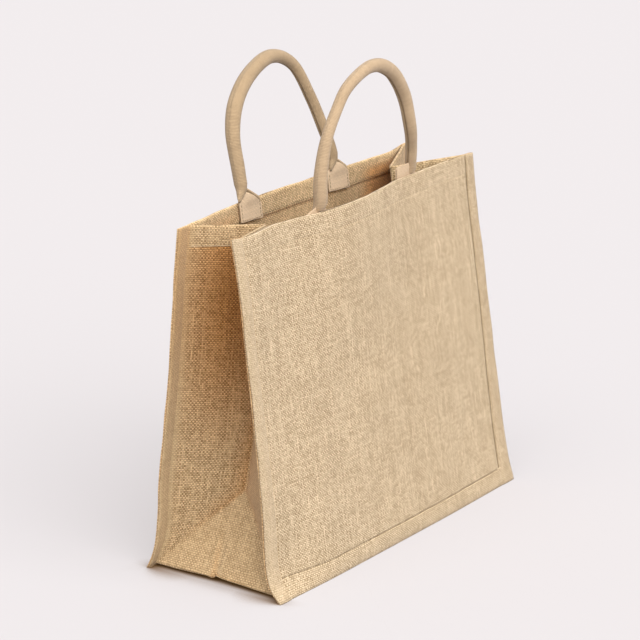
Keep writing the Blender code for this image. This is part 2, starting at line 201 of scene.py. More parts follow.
# A leg's lower end, where the rope stops and the webbing folds flat over the patch's near edge.
LegEnd = namedtuple("LegEnd", "above_mouth aside off_wall half_width half_depth")
LEG_ENDS = {
    "front": (
        LegEnd(-0.0160, 0.0036, 0.0036, 0.0006, 0.0003),
        LegEnd(-0.0140, 0.0030, 0.0040, 0.0014, 0.0006),
        LegEnd(-0.0110, 0.0020, 0.0046, 0.0028, 0.0010),
        LegEnd(-0.0070, 0.0010, 0.0050, 0.0046, 0.0017),
        LegEnd(-0.0030, 0.0004, 0.0050, 0.0060, 0.0028),
        LegEnd(0.0010, 0.0001, 0.0045, 0.0068, 0.0042),
        LegEnd(0.0050, 0.0000, 0.0022, 0.0071, 0.0058),
        LegEnd(0.0090, 0.0000, 0.0005, 0.0070, 0.0068),
    ),
    "back": (
        LegEnd(0.0022, 0.0077, 0.0036, 0.0012, 0.0006),
        LegEnd(0.0053, 0.0066, 0.0037, 0.0029, 0.0019),
        LegEnd(0.0085, 0.0045, 0.0038, 0.0043, 0.0034),
        LegEnd(0.0114, 0.0021, 0.0034, 0.0055, 0.0047),
        LegEnd(0.0139, 0.0003, 0.0020, 0.0063, 0.0057),
    ),
}

# The weave. Widths are shares of a yarn's pitch, heights are shares of how far a yarn bulges, and
# tones run from dark 0 to light 1.
YARN_WANDER = 0.0032      # the width within which yarns stray about their line, in metres
YARN_HALF_WIDTH = 0.40
SLUB_WIDENS = 0.14        # what half a yarn's width gains in its thick places
CROSSING_LIFT = 0.62      # how far a yarn rises where it lies on top
FUZZ = 0.12               # how high its loose fibres stand
Tones = namedtuple("Tones", "base spread slub")
UPRIGHT_TONES = Tones(0.06, 0.42, 1.0)
LEVEL_TONES = Tones(0.70, 0.16, 0.6)
CROSSING_TONES = 0.60     # how far the crossings of one yarn differ
GRAIN_TONES = 0.70        # how far the fibres of one yarn differ
BAND_TONE = 0.42          # tone of the plain bands, from light to dark yarn

CREASE_SOFTENING = 0.4    # how far the gusset's points are drawn towards their neighbours
EDGE_ROUNDING = 0.0004    # how far a cut edge's middle stands past its two faces
CLOTH_MAP = "flat_cloth"
SHADE_MASK = "fold_shade"  # painted shade: where the colour is made darker and redder in deep folds, seams and gaps
BAND_MASK = "plain_band"   # where the weave shows less, and where painted light lightens a shaded strip at the gusset's back seam
BORDER = 0.002             # over what width a band's look fades in
STUDIO_AIM = Vector((-0.0311, 0.0, 0.2303))
STUDIO_AZIMUTH = -54.150
STUDIO_ELEVATION = 17.003
STUDIO_ROLL = -0.271
STUDIO_DISTANCE = 2.7036
FLOOR_SIZE = 30.0
FLOOR_SHADE_REACH = 0.045
KEY_DIRECTION = Vector((-0.22, -0.80, 0.75))
FILL_DIRECTION = Vector((-0.70, -0.15, 0.95))


def smooth(share):
    """Ease from 0 to 1 as share goes from 0 to 1."""
    share = np.clip(share, 0.0, 1.0)
    return share * share * (3.0 - 2.0 * share)


def blend(start, end, share):
    return start + (end - start) * share


def bell(off, width):
    """1 where off is 0, and soon 0 where it is larger than width on either side."""
    return np.exp(-((off / width) ** 2))


def unit(vectors):
    return vectors / np.linalg.norm(vectors, axis=-1, keepdims=True)


def read(table, key, column, at):
    """Values of a table's column on the smooth curve through its rows."""
    keys = np.array([getattr(row, key) for row in table])
    values = np.array([getattr(row, column) for row in table])
    places = np.arange(len(keys))
    before, after = np.maximum(places - 1, 0), np.minimum(places + 1, len(keys) - 1)
    slopes = (values[after] - values[before]) / (keys[after] - keys[before])
    at = np.clip(at, keys[0], keys[-1])
    low = np.clip(np.searchsorted(keys, at, side="right") - 1, 0, len(keys) - 2)
    span = keys[low + 1] - keys[low]
    share = (at - keys[low]) / span
    rise = span * (share - 1.0) * share * (slopes[low] * (share - 1.0) + slopes[low + 1] * share)
    return blend(values[low], values[low + 1], smooth(share)) + rise


def unevenness(across, up, size, seed):
    """Soft random relief from -1 to 1, whose lumps are about `size` wide."""
    lattice = np.random.default_rng(seed).uniform(-1.0, 1.0, (97, 97))
    u, v = np.asarray(across) / size + 40.0, np.asarray(up) / size + 40.0
    i, j = np.floor(u).astype(int), np.floor(v).astype(int)
    a, b = smooth(u - i), smooth(v - j)
    i, j = i % 96, j % 96
    low = blend(lattice[i, j], lattice[i + 1, j], a)
    high = blend(lattice[i, j + 1], lattice[i + 1, j + 1], a)
    return blend(low, high, b)


def spaced(start, stop, step, lines=()):
    """Places from start to stop about a step apart, closer together at each line."""
    places = list(np.linspace(start, stop, round((stop - start) / step) + 1))
    near = (-0.0026, -0.0016, -0.0008, 0.0, 0.0008, 0.0016, 0.0026)
    for line in lines:
        places = [place for place in places if abs(place - line) > 0.0036]
        places += [line + offset for offset in near if start < line + offset < stop]
    return np.array(sorted(places))


def facing(panel):
    """Sign of Y on the panel's side of the bag."""
    return -1.0 if panel == "front" else 1.0


def face_depth(panel, across, height):
    """Distance of a panel's outer face from the bag's middle plane."""
    across, height = np.broadcast_arrays(np.asarray(across, float), np.asarray(height, float))
    middle = read(PROFILES, "height", panel + "_middle", height)
    depth = middle.copy()
    for edge, inset in (("left", across + HALF_WIDTH), ("right", HALF_WIDTH - across)):
        name = panel + "_" + edge
        near = smooth(1.0 - inset / EDGE_REACH[name])
        depth += (read(PROFILES, "height", name, height) - middle) * near
    for slack in SLACKS:
        if slack.panel == panel:
            beside = smooth(1.0 - np.abs(across - slack.across) / (2.0 * slack.half_width))
            depth += slack.out * beside * smooth(1.0 - (PANEL_HEIGHT - height) / slack.below)
    return depth


def mouth_height(panel, across):
    return read(MOUTHS, "across", panel, across)


# The panels.

def panel_across(panel, place, up):
    """Real distance from the middle for a place on the cloth's grid, whose side lines run
    straight while the real ones lean."""
    left = HALF_WIDTH - read(SIDE_LINES, "height", panel + "_left", up)
    right = HALF_WIDTH - read(SIDE_LINES, "height", panel + "_right", up)
    inner = blend(-left, right, (place + SIDE_LINE) / (2.0 * SIDE_LINE))
    flange = (np.abs(place) - SIDE_LINE) / (HALF_WIDTH - SIDE_LINE)
    outer_left = blend(-left, -HALF_WIDTH, flange)
    outer_right = blend(right, HALF_WIDTH, flange)
    return np.where(place < -SIDE_LINE, outer_left, np.where(place > SIDE_LINE, outer_right, inner))


def panel_relief(panel, place, across, up):
    """How far the sewn cloth stands out from the panel's plain face."""
    side = np.where(across < 0.0, 0, 1)
    groove, band = np.array(GROOVES[panel])[side], np.array(BANDS[panel])[side]
    cloth = bpy.context.scene.jute_cloth
    from_line = np.abs(place) - SIDE_LINE
    share = np.clip(from_line / (HALF_WIDTH - SIDE_LINE), 0.0, 1.0)
    above_foot = up > FOOT_LINE
    relief = band * np.sin(pi * share) * (from_line > 0.0)
    relief = relief - groove * bell(from_line, GROOVE_HALF_WIDTH) * above_foot
    relief -= 0.6 * groove * np.exp(-np.abs(from_line) / 0.006) * (from_line < 0.0) * above_foot
    in_middle = from_line < 0.0
    relief -= 0.0008 * bell(up - FOOT_LINE, GROOVE_HALF_WIDTH) * in_middle
    relief += 0.0008 * np.sin(pi * np.clip(up / FOOT_LINE, 0.0, 1.0)) * in_middle
    relief -= 0.0003 * bell(up - HEM_LINE, GROOVE_HALF_WIDTH) * in_middle
    relief += 0.0003 * smooth((up - HEM_LINE) / 0.004) * in_middle
    fade = smooth(up / 0.05) * smooth((HALF_WIDTH - np.abs(across)) / 0.03)
    seed = 3 if panel == "front" else 4
    relief += cloth.unevenness * fade * unevenness(across, up, 0.085, seed)
    relief += 0.35 * cloth.unevenness * fade * unevenness(across, up, 0.030, seed + 10)
    return relief


def panel_points(panel, place, up, inside=False):
    """Points on a panel's outer or inner face, for places on its grid."""
    place, up = np.broadcast_arrays(np.asarray(place, float), np.asarray(up, float))
    across = panel_across(panel, place, up)
    height = up / PANEL_HEIGHT * mouth_height(panel, across)
    rim = smooth((up - PANEL_HEIGHT + 0.012) / 0.012)
    height = height + 0.0005 * rim * unevenness(across, 0.0, 0.021, 21)
    side = smooth((np.abs(across) - HALF_WIDTH + 0.008) / 0.008)
    across = across + 0.0006 * side * np.sign(across) * unevenness(0.0, up, 0.024, 22)
    depth = face_depth(panel, across, height) + panel_relief(panel, place, across, up)
    if inside:
        hem = smooth((up - HEM_LINE + 0.0025) / 0.0012)
        hem = hem * smooth((HEM_END_X + 0.014 - np.abs(across)) / 0.014)
        depth = face_depth(panel, across, height) - CLOTH - HEM_EXTRA * hem
        depth = depth + 0.0003 * hem * bell(up - HEM_LINE, GROOVE_HALF_WIDTH)
    return np.stack([across, facing(panel) * depth, height], axis=-1)


def panel_grid(step):
    places = spaced(-HALF_WIDTH, HALF_WIDTH, step, (-SIDE_LINE, SIDE_LINE))
    ups = spaced(0.0, PANEL_HEIGHT, step, (FOOT_LINE, HEM_LINE))
    return np.meshgrid(places, ups)


# The gusset.

def seat_points(panel, across, height):
    """Middle of the gusset's cloth where it lies flat against a panel."""
    depth = face_depth(panel, across, height) - CLOTH - SEWN_GAP - CLOTH / 2.0
    across, height = np.broadcast_arrays(np.asarray(across, float), np.asarray(height, float))
    return np.stack([across, facing(panel) * depth, height], axis=-1)


def row_height(panel, across, up):
    return blend(CORNER_Z, mouth_height(panel, across), up / SIDE_LENGTH)


def side_seam(panel, side, height):
    out = smooth(1.0 - (height - CORNER_Z) / CORNER_REACH)
    return seat_points(panel, side * blend(SEAM_X, CORNER_X, out), height)


def foot_seam(panel, across):
    rise = smooth((CORNER_X - np.abs(across)) / CORNER_REACH)
    return seat_points(panel, across, blend(CORNER_Z, SEAM_Z, rise))


def fold_points(side, share):
    name = "left" if side < 0 else "right"
    x, y, z = (read(FOLDS, "share", name + "_" + axis, share) for axis in "xyz")
    return np.stack([side * x, y, z], axis=-1)


def gusset_half(panel, side, ups, inward, flange):
    """Grid of points from a panel's flange edge to the gusset's middle, one row for each up."""
    apex = fold_points(side, 0.0)
    base_middle = np.array([side * BASE_EDGE_X, apex[1], BASE_EDGE_Z])
    corner = side_seam(panel, side, CORNER_Z)
    rise = np.clip(ups / FOLD, 0.0, 1.0)[:, None]
    seam = side_seam(panel, side, row_height(panel, side * SEAM_X, ups))
    crease = blend(corner, apex, rise)
    above = ups > FOLD
    crease[above] = fold_points(side, (ups[above] - FOLD) / (SIDE_LENGTH - FOLD))
    middle = blend(base_middle, apex, rise)
    rise, inward = rise[:, :, None], inward[None, :, None]
    seam, crease, middle = seam[:, None], crease[:, None], middle[:, None]
    upper = blend(seam, crease, inward / np.maximum(rise, 1e-6))
    lower = blend(crease, middle, (inward - rise) / np.maximum(1.0 - rise, 1e-6))
    points = np.where(inward <= rise, upper, lower)
    out = flange[None, :]
    edge = blend(seam[..., 0], side * HALF_WIDTH, out)
    height = row_height(panel, edge, ups[:, None])
    height = np.where(ups[:, None] > 0.0, height, blend(CORNER_Z, 0.0, out))
    return np.concatenate([seat_points(panel, edge, height), points], axis=1)


def gusset_middle(step):
    """Middle surface of the whole strip, from the left mouth round the base to the right mouth,
    with each point's place on the flat cloth."""
    flange = np.array([1.0, 0.75, 0.5, 0.25, 0.08])
    inward = spaced(0.0, 1.0, step / FOLD)
    inward = np.sort(np.append(inward, [0.009, 0.02]))
    upper = spaced(FOLD, SIDE_LENGTH, step, (SIDE_LENGTH - HEM_DEPTH,))
    ups = np.concatenate([inward * FOLD, upper[1:]])
    across = spaced(-SEAM_X, SEAM_X, step)
    sides = {}
    for side in (-1, 1):
        front = gusset_half("front", side, ups, inward, flange)
        back = gusset_half("back", side, ups, inward, flange)
        sides[side] = np.concatenate([front, back[:, -2::-1]], axis=1)
    front, back = foot_seam("front", across)[:, None], foot_seam("back", across)[:, None]
    share = np.concatenate([inward / 2.0, 1.0 - inward[-2::-1] / 2.0])[None, :, None]
    base = blend(front, back, share)
    sag = np.sin(pi * share[..., 0]) ** SAG_FULLNESS
    base[..., 2] = blend(base[..., 2], SEAM_Z - BASE_SAG, sag)
    rows = []
    for panel, seam in (("front", front), ("back", back)):
        height = seam[..., 2] * (1.0 - flange[None, :])
        rows.append(seat_points(panel, across[:, None] + 0.0 * height, height))
    base = np.concatenate([rows[0], base, rows[1][:, ::-1]], axis=1)
    points = np.concatenate([sides[-1][::-1], base, sides[1]], axis=0)
    along = np.concatenate([-BASE_EDGE_X - ups[::-1], across, BASE_EDGE_X + ups])
    half = np.concatenate([-FOLD - flange * ALLOWANCE, (inward - 1.0) * FOLD])
    over = np.concatenate([half, -half[-2::-1]])
    flat = np.stack(np.meshgrid(over, along), axis=-1)
    return points, flat, len(flange)


def relaxed(points, kept, strength):
    """Grid whose inner points are drawn towards their neighbours; `kept` columns at both long
    edges stay."""
    points = points.copy()
    near = points[:-2, 1:-1] + points[2:, 1:-1] + points[1:-1, :-2] + points[1:-1, 2:]
    moved = blend(points[1:-1, 1:-1], near / 4.0, strength)
    points[1:-1, kept:-kept] = moved[:, kept - 1 : -(kept - 1)]
    return points


def grid_normals(points):
    along = np.gradient(points, axis=0)
    over = np.gradient(points, axis=1)
    normals = np.cross(along, over)
    return normals / np.maximum(np.linalg.norm(normals, axis=-1, keepdims=True), 1e-9)


# Meshes.

def link_piece(name, mesh, material):
    """Object for a finished mesh, which rides on the bag."""
    mesh.materials.append(material)
    item = bpy.data.objects.new(name, mesh)
    bpy.context.collection.objects.link(item)
    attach(item, "root")
    return item


def build_mesh(name, points, faces, flat=None, masks=None):
    """Smooth mesh, with a map of each point's place on the flat cloth in metres, and masks for
    its material."""
    mesh = bpy.data.meshes.new(name)
    mesh.from_pydata(np.asarray(points).tolist(), [], faces)
    mesh.shade_smooth()
    if flat is not None:
        layer = mesh.uv_layers.new(name=CLOTH_MAP)
        corners = np.empty(len(mesh.loops), int)
        mesh.loops.foreach_get("vertex_index", corners)
        layer.data.foreach_set("uv", np.asarray(flat, np.float32)[corners].ravel())
    for mask_name, values in (masks or {}).items():
        mask = mesh.attributes.new(mask_name, "FLOAT", "POINT")
        mask.data.foreach_set("value", np.asarray(values, np.float32))
    return mesh


def ring_faces(rings, sides):
    """Quads between neighbouring rings of a tube."""
    index = np.arange(rings * sides).reshape(rings, sides)
    turned = np.roll(index, -1, axis=1)
    return np.stack([index[:-1], turned[:-1], turned[1:], index[1:]], axis=-1).reshape(-1, 4)


def walked_length(points):
    """Distance along a path to each of its points."""
    steps = np.linalg.norm(np.diff(points, axis=0), axis=1)
    return np.concatenate([[0.0], np.cumsum(steps)])


def rim_of(grid):
    """A grid's values round its edge."""
    return np.concatenate([grid[0, :-1], grid[:-1, -1], grid[-1, :0:-1], grid[:0:-1, 0]])


def sheet_parts(outer, inner, flat, edge):
    """Points, faces and flat places of closed cloth between two grids, rounded at its edge."""
    rows, columns = outer.shape[:2]
    count = rows * columns
    index = np.arange(count).reshape(rows, columns)
    front = np.stack([index[:-1, :-1], index[:-1, 1:], index[1:, 1:], index[1:, :-1]], axis=-1)
    front = front.reshape(-1, 4)
    rim = rim_of(index)
    middle = (outer + inner).reshape(-1, 3) / 2.0
    row, column = np.divmod(rim, columns)
    inward = np.clip(row, 1, rows - 2) * columns + np.clip(column, 1, columns - 2)
    push = unit(middle[rim] - middle[inward])
    ring_points = middle[rim] + push * edge
    ring = 2 * count + np.arange(len(rim))
    rim_next, ring_next = np.roll(rim, -1), np.roll(ring, -1)
    faces = [front, front[:, ::-1] + count]
    faces.append(np.stack([rim_next, rim, ring, ring_next], axis=-1))
    faces.append(np.stack([ring_next, ring, rim + count, rim_next + count], axis=-1))
    points = np.concatenate([outer.reshape(-1, 3), inner.reshape(-1, 3), ring_points])
    flat = flat.reshape(-1, 2)
    return points, np.concatenate(faces), np.concatenate([flat, flat, flat[rim]])


def sheet_mask(outer, inner):
    """Mask values in the order of sheet_parts' points, from those of its two grids."""
    return np.concatenate([outer.ravel(), inner.ravel(), rim_of(outer)])


def add_cloth(name, outer, inner, flat, material, masks):
    points, faces, places = sheet_parts(outer, inner, flat, EDGE_ROUNDING)
    masks = {mask: sheet_mask(*grids) for mask, grids in masks.items()}
    mesh = build_mesh(name, points, faces.tolist(), places, masks)
    return link_piece(name, mesh, material)


def stitches(path, normals):
    """Points, faces and flat places of the stitches of one line of sewing along a path."""
    sewing = bpy.context.scene.jute_sewing
    path = np.asarray(path, float)
    walked = walked_length(path)
    pitch = sewing.stitch_length + sewing.stitch_gap
    count = max(int(walked[-1] / pitch), 1)
    starts = (walked[-1] - count * pitch) / 2.0 + pitch * np.arange(count)
    rng = np.random.default_rng(count)
    shares = np.array([0.0, 0.08, 0.3, 0.7, 0.92, 1.0])
    lifts = np.array([-0.7, 0.0, 0.55, 0.55, 0.0, -0.7]) * sewing.thread_radius
    widths = np.array([0.5, 0.9, 1.0, 1.0, 0.9, 0.5]) * sewing.thread_radius
    at = starts[:, None] + shares * sewing.stitch_length
    centres = np.stack([np.interp(at, walked, path[:, k]) for k in range(3)], axis=-1)
    out = np.stack([np.interp(at, walked, normals[:, k]) for k in range(3)], axis=-1)
    out = unit(out)
    tangent = unit(centres[:, -1:] - centres[:, :1])
    aside = np.cross(out, tangent)
    sway = rng.uniform(-0.25, 0.25, (count, 1, 1)) * sewing.thread_radius
    slant = rng.uniform(-0.3, 0.3, (count, 1, 1)) * sewing.thread_radius
    centres = centres + out * lifts[None, :, None] + aside * sway
    centres = centres + aside * slant * (shares[None, :, None] - 0.5) * 2.0
    sides = 6
    angles = 2.0 * pi * np.arange(sides) / sides
    ring = aside[:, :, None] * np.cos(angles)[None, None, :, None]
    ring = ring + out[:, :, None] * np.sin(angles)[None, None, :, None]
    points = centres[:, :, None] + ring * widths[None, :, None, None]
    rings = len(shares)
    flat = np.zeros(points.shape[:3] + (2,))
    flat[..., 0] = (angles * sewing.thread_radius)[None, None, :]
    flat[..., 1] = at[:, :, None]
    faces = ring_faces(rings, sides)
    faces = (faces[None] + (np.arange(count) * rings * sides)[:, None, None]).reshape(-1, 4)
    faces = faces.tolist()
    for stitch in range(count):
        base = stitch * rings * sides
        faces.append([base + side for side in range(sides)][::-1])
        faces.append([base + (rings - 1) * sides + side for side in range(sides)])
    return points.reshape(-1, 3), faces, flat.reshape(-1, 2)


def join_parts(parts):
    """One set of points, faces and flat places from several."""
    points, faces, flats, count = [], [], [], 0
    for part_points, part_faces, part_flat in parts:
        points.append(part_points)
        faces += [[corner + count for corner in face] for face in part_faces]
        flats.append(part_flat)
        count += len(part_points)
    return np.concatenate(points), faces, np.concatenate(flats)


def add_stitches(name, lines, thread):
    """Piece with the stitches of several lines of sewing, in one of the three threads."""
    mesh = build_mesh(name, *join_parts([stitches(path, normals) for path, normals in lines]))
    return link_piece(name, mesh, bpy.data.materials[thread])


# Shader nodes.

class Wiring:
    """Adds nodes to one tree and links them."""

    def __init__(self, tree):
        self.tree = tree

    def feed(self, node, inputs):
        """Set a node's inputs to values, or link them to sockets."""
        for name, value in inputs.items():
            if isinstance(value, bpy.types.NodeSocket):
                self.tree.links.new(value, node.inputs[name])
            else:
                node.inputs[name].default_value = value

    def put(self, kind, inputs=None, **settings):
        """New node with its settings and its inputs."""
        node = self.tree.nodes.new(kind)
        for name, value in settings.items():
            setattr(node, name, value)
        self.feed(node, inputs or {})
        return node

    def sum(self, operation, *values):
        """Result of a Math node."""
        inputs = dict(enumerate(values))
        return self.put("ShaderNodeMath", inputs, operation=operation).outputs[0]

    def mix(self, share, first, second, blend_type="MIX"):
        """Result of a colour Mix node."""
        node = self.put("ShaderNodeMix", data_type="RGBA", blend_type=blend_type)
        self.feed(node, {0: share, 6: first, 7: second})
        return node.outputs[2]

    def vector(self, operation, inputs):
        """Result of a Vector Math node."""
        return self.put("ShaderNodeVectorMath", inputs, operation=operation).outputs[0]

    def choose(self, share, first, second):
        """Result of a number Mix node."""
        inputs = {0: share, 2: first, 3: second}
        return self.put("ShaderNodeMix", inputs, data_type="FLOAT").outputs[0]

    def add(self, first, second):
        return self.sum("ADD", first, second)

    def less(self, first, second):
        return self.sum("SUBTRACT", first, second)

    def times(self, first, second):
        return self.sum("MULTIPLY", first, second)

    def ripple(self, place):
        """Height of a row of rounded ribs, one for each unit."""
        return self.sum("ABSOLUTE", self.sum("SINE", self.times(place, pi)))

    def chance(self, inputs, dimensions):
        """Random number from 0 to 1 for each yarn or crossing."""
        node = self.put("ShaderNodeTexWhiteNoise", inputs, noise_dimensions=dimensions)
        return node.outputs["Value"]

    def noise(self, place, scale, detail=2.0, roughness=0.5):
        inputs = {"Vector": place, "Scale": scale, "Detail": detail, "Roughness": roughness}
        return self.put("ShaderNodeTexNoise", inputs).outputs["Fac"]

    def spread(self, value, low, high, start=0.0, stop=1.0):
        """Value moved from one range to another, and held inside it."""
        inputs = {"Value": value, "From Min": low, "From Max": high}
        inputs.update({"To Min": start, "To Max": stop})
        return self.put("ShaderNodeMapRange", inputs).outputs["Result"]


def new_group(name, inputs):
    """Group that turns a place on the flat cloth into colour, height and roughness, with its
    wiring, its inputs and the node at its end."""
    group = bpy.data.node_groups.new(name, "ShaderNodeTree")
    group.interface.new_socket("Place", in_out="INPUT", socket_type="NodeSocketVector")
    for socket_name, value in inputs.items():
        kind = "NodeSocketFloat" if isinstance(value, float) else "NodeSocketColor"
        socket = group.interface.new_socket(socket_name, in_out="INPUT", socket_type=kind)
        socket.default_value = value
    for socket_name, kind in (("Color", "Color"), ("Height", "Float"), ("Roughness", "Float")):
        kind = "NodeSocket" + kind
        group.interface.new_socket(socket_name, in_out="OUTPUT", socket_type=kind)
    w = Wiring(group)
    return group, w, w.put("NodeGroupInput").outputs, w.put("NodeGroupOutput")


def yarn_weave_group():
    """Plain weave of thick uneven yarns."""
    name = "Yarn Weave"
    if name in bpy.data.node_groups:
        return bpy.data.node_groups[name]
    group, w, given, end = new_group(name, {
        "Across Pitch": 0.0018,
        "Up Pitch": 0.0018,
        "Light Yarn": (0.7, 0.5, 0.3, 1.0),
        "Dark Yarn": (0.5, 0.33, 0.17, 1.0),
        "Gap": (0.2, 0.12, 0.05, 1.0),
        "Openness": 0.5,
        "Slub": 0.5,
        "Mottle": 0.5,
    })
    place = given["Place"]
    wander = w.put("ShaderNodeTexNoise", {"Vector": place, "Scale": 36.0, "Detail": 1.5})
    stray = w.vector("SUBTRACT", {0: wander.outputs["Color"], 1: (0.5, 0.5, 0.5)})
    stray = w.vector("SCALE", {0: stray, "Scale": YARN_WANDER})
    moved = w.vector("ADD", {0: place, 1: stray})
    split = w.put("ShaderNodeSeparateXYZ", {0: moved}).outputs
    u = w.sum("DIVIDE", split["X"], given["Across Pitch"])
    v = w.sum("DIVIDE", split["Y"], given["Up Pitch"])
    column, row = w.sum("FLOOR", u), w.sum("FLOOR", v)
    # Distance from the middle of the upright and of the level yarn, -0.5 to 0.5.
    beside, above = w.less(w.less(u, column), 0.5), w.less(w.less(v, row), 0.5)
    # 1 where the upright yarn or the level yarn lies on top, and -1 where it lies below.
    over = w.sum("COSINE", w.times(w.add(w.less(v, 0.5), column), pi))
    under = w.times(w.sum("COSINE", w.times(w.add(w.less(u, 0.5), row), pi)), -1.0)

    def yarn(number, along, off_middle, on_top, seed):
        """Tone, thick places and height of one yarn, which change along it."""
        tone = w.chance({"W": w.add(number, seed)}, "1D")
        spot = {"X": w.times(number, 7.31), "Y": w.times(along, 0.055), "Z": seed}
        spot = w.put("ShaderNodeCombineXYZ", spot).outputs[0]
        slub = w.spread(w.noise(spot, 1.0, 2.0, 0.6), 0.52, 0.78)
        reach = w.sum("DIVIDE", off_middle, w.add(YARN_HALF_WIDTH, w.times(slub, SLUB_WIDENS)))
        crown = w.less(1.0, w.times(reach, reach))
        return tone, slub, w.add(crown, w.times(on_top, CROSSING_LIFT))

    tone_up, slub_up, height_up = yarn(column, v, beside, over, 3.0)
    tone_level, slub_level, height_level = yarn(row, u, above, under, 71.0)
    up_shows = w.sum("GREATER_THAN", height_up, height_level)
    height = w.spread(w.sum("MAXIMUM", height_up, height_level), -0.2, 1.0 + CROSSING_LIFT)
    cell = w.put("ShaderNodeCombineXYZ", {"X": column, "Y": row}).outputs[0]
    chance = w.times(w.less(w.chance({"Vector": cell}, "2D"), 0.5), CROSSING_TONES)

    def shade(tone, slub, stretch, tones):
        """How light one yarn is."""
        fibre = w.put("ShaderNodeMapping", {"Vector": moved, "Scale": stretch}).outputs[0]
        grain = w.times(w.less(w.noise(fibre, 420.0), 0.5), GRAIN_TONES)
        slub = w.times(w.times(slub, tones.slub), given["Slub"])
        value = w.add(w.add(tones.base, chance), w.times(tone, tones.spread))
        return w.add(w.add(value, slub), grain)

    light = w.choose(
        up_shows,
        shade(tone_level, slub_level, (1.0, 9.0, 1.0), LEVEL_TONES),
        shade(tone_up, slub_up, (9.0, 1.0, 1.0), UPRIGHT_TONES),
    )
    mottle = w.spread(w.noise(place, 22.0, 3.0, 0.6), 0.3, 0.7, -0.5, 0.5)
    light = w.spread(w.add(light, w.times(mottle, given["Mottle"])), 0.0, 1.0)
    yarns = w.mix(light, given["Dark Yarn"], given["Light Yarn"])
    openness = w.sum("MAXIMUM", given["Openness"], 0.05)
    # Painted shade: where the yarns lie low, in the hollows between them, the colour turns to the
    # dark gap colour.
    filled = w.spread(w.sum("DIVIDE", height, openness), 0.1, 1.0)
    fuzz = w.times(w.less(w.noise(moved, 1500.0), 0.5), FUZZ)
    w.feed(end, {
        "Color": w.mix(filled, given["Gap"], yarns),
        "Height": w.add(height, fuzz),
        "Roughness": w.spread(light, 0.0, 1.0, 0.95, 0.82),
    })
    return group


def ribbed_webbing_group():
    """Fine cotton webbing with ribs across its length."""
    name = "Ribbed Webbing"
    if name in bpy.data.node_groups:
        return bpy.data.node_groups[name]
    group, w, given, end = new_group(name, {
        "Rib": 0.0015,
        "Light Yarn": (0.62, 0.45, 0.3, 1.0),
        "Dark Yarn": (0.42, 0.28, 0.16, 1.0),
        "Mottle": 0.4,
    })
    place, rib = given["Place"], given["Rib"]
    split = w.put("ShaderNodeSeparateXYZ", {0: place}).outputs
    v = w.sum("DIVIDE", split["Y"], rib)
    u = w.sum("DIVIDE", split["X"], w.times(rib, 1.05))
    row = w.sum("FLOOR", v)
    cords = w.ripple(w.add(u, w.times(row, 0.5)))
    height = w.times(w.add(0.35, w.times(cords, 0.65)), w.ripple(v))
    grain = w.noise(place, 900.0)
    mottle = w.noise(place, 55.0, 3.0, 0.6)
    # Painted shade: the colour is darker where the ribs lie low, in the hollows between them.
    light = w.add(w.times(height, 0.55), w.times(w.chance({"W": row}, "1D"), 0.12))
    light = w.add(light, w.times(w.less(grain, 0.5), 0.4))
    light = w.add(light, w.times(w.less(mottle, 0.5), given["Mottle"]))
    light = w.spread(light, -0.05, 0.65)
    w.feed(end, {
        "Color": w.mix(light, given["Dark Yarn"], given["Light Yarn"]),
        "Height": w.add(height, w.times(grain, 0.2)),
        "Roughness": w.spread(light, 0.0, 1.0, 0.9, 0.75),
    })
    return group


def new_material(name):
    """Material, its wiring and its shader."""
    material = bpy.data.materials.new(name)
    material.use_nodes = True
    return material, Wiring(material.node_tree), material.node_tree.nodes["Principled BSDF"]


def fabric_material(name, group, values, shade, band, bump, distance, sheen):
    """Principled fabric whose colour, height and roughness come from a weave group. Shade is the
    colour that the shade mask multiplies by to paint shade, and band the one that the band mask
    mixes in."""
    material, w, shader = new_material(name)
    place = w.put("ShaderNodeUVMap", uv_map=CLOTH_MAP).outputs["UV"]
    node = w.put("ShaderNodeGroup", node_tree=group)
    w.feed(node, {"Place": place, **values})
    weave = node.outputs
    relief = {"Height": weave["Height"], "Strength": bump, "Distance": distance}
    in_band, in_shade = (
        w.put("ShaderNodeAttribute", attribute_name=mask).outputs["Fac"]
        for mask in (BAND_MASK, SHADE_MASK)
    )
    colour = w.mix(in_band, weave["Color"], band)
    w.feed(shader, {
        "Base Color": w.mix(in_shade, colour, (*shade, 1.0), "MULTIPLY"),
        "Roughness": weave["Roughness"],
        "Normal": w.put("ShaderNodeBump", relief).outputs["Normal"],
        "Specular IOR Level": 0.25,
        "Sheen Weight": sheen,
        "Sheen Roughness": 0.5,
    })
    return material


def jute_material(name, tint, openness, contrast, pitch, shade):
    """Natural jute, with a tint for the piece that it is cut from; the back panel's lighter tint is
    painted light on its shaded inner face. Contrast says how far its light and dark yarns differ,
    and pitch how far apart its upright and its level yarns are. Shade is what its colour is
    multiplied by where shade is painted in its folds and seams."""
    cloth = bpy.context.scene.jute_cloth
    light, dark, gap = (
        np.array(colour) for colour in (cloth.light_yarn, cloth.dark_yarn, cloth.gap_shade)
    )
    middle = (light + dark) / 2.0
    light, dark, gap = (
        (*np.clip(colour * np.array(tint), 0.0, 1.0), 1.0)
        for colour in (blend(middle, light, contrast), blend(middle, dark, contrast), gap)
    )
    values = {
        "Across Pitch": pitch[0],
        "Up Pitch": pitch[1],
        "Light Yarn": light,
        "Dark Yarn": dark,
        "Gap": gap,
        "Openness": openness,
        "Slub": cloth.slub,
        "Mottle": cloth.mottle,
    }
    band = tuple(blend(np.array(light), np.array(dark), BAND_TONE))
    return fabric_material(name, yarn_weave_group(), values, shade, band, 0.8, 0.0006, 0.15)


def webbing_material(name, tint):
    webbing = bpy.context.scene.jute_webbing
    light, dark = (
        tuple(min(c * t, 1.0) for c, t in zip(colour, tint)) + (1.0,)
        for colour in (webbing.light_yarn, webbing.dark_yarn)
    )
    values = {"Rib": webbing.rib, "Light Yarn": light, "Dark Yarn": dark, "Mottle": 0.4}
    group = ribbed_webbing_group()
    return fabric_material(name, group, values, webbing.shade, light, 0.8, 0.0004, 0.2)


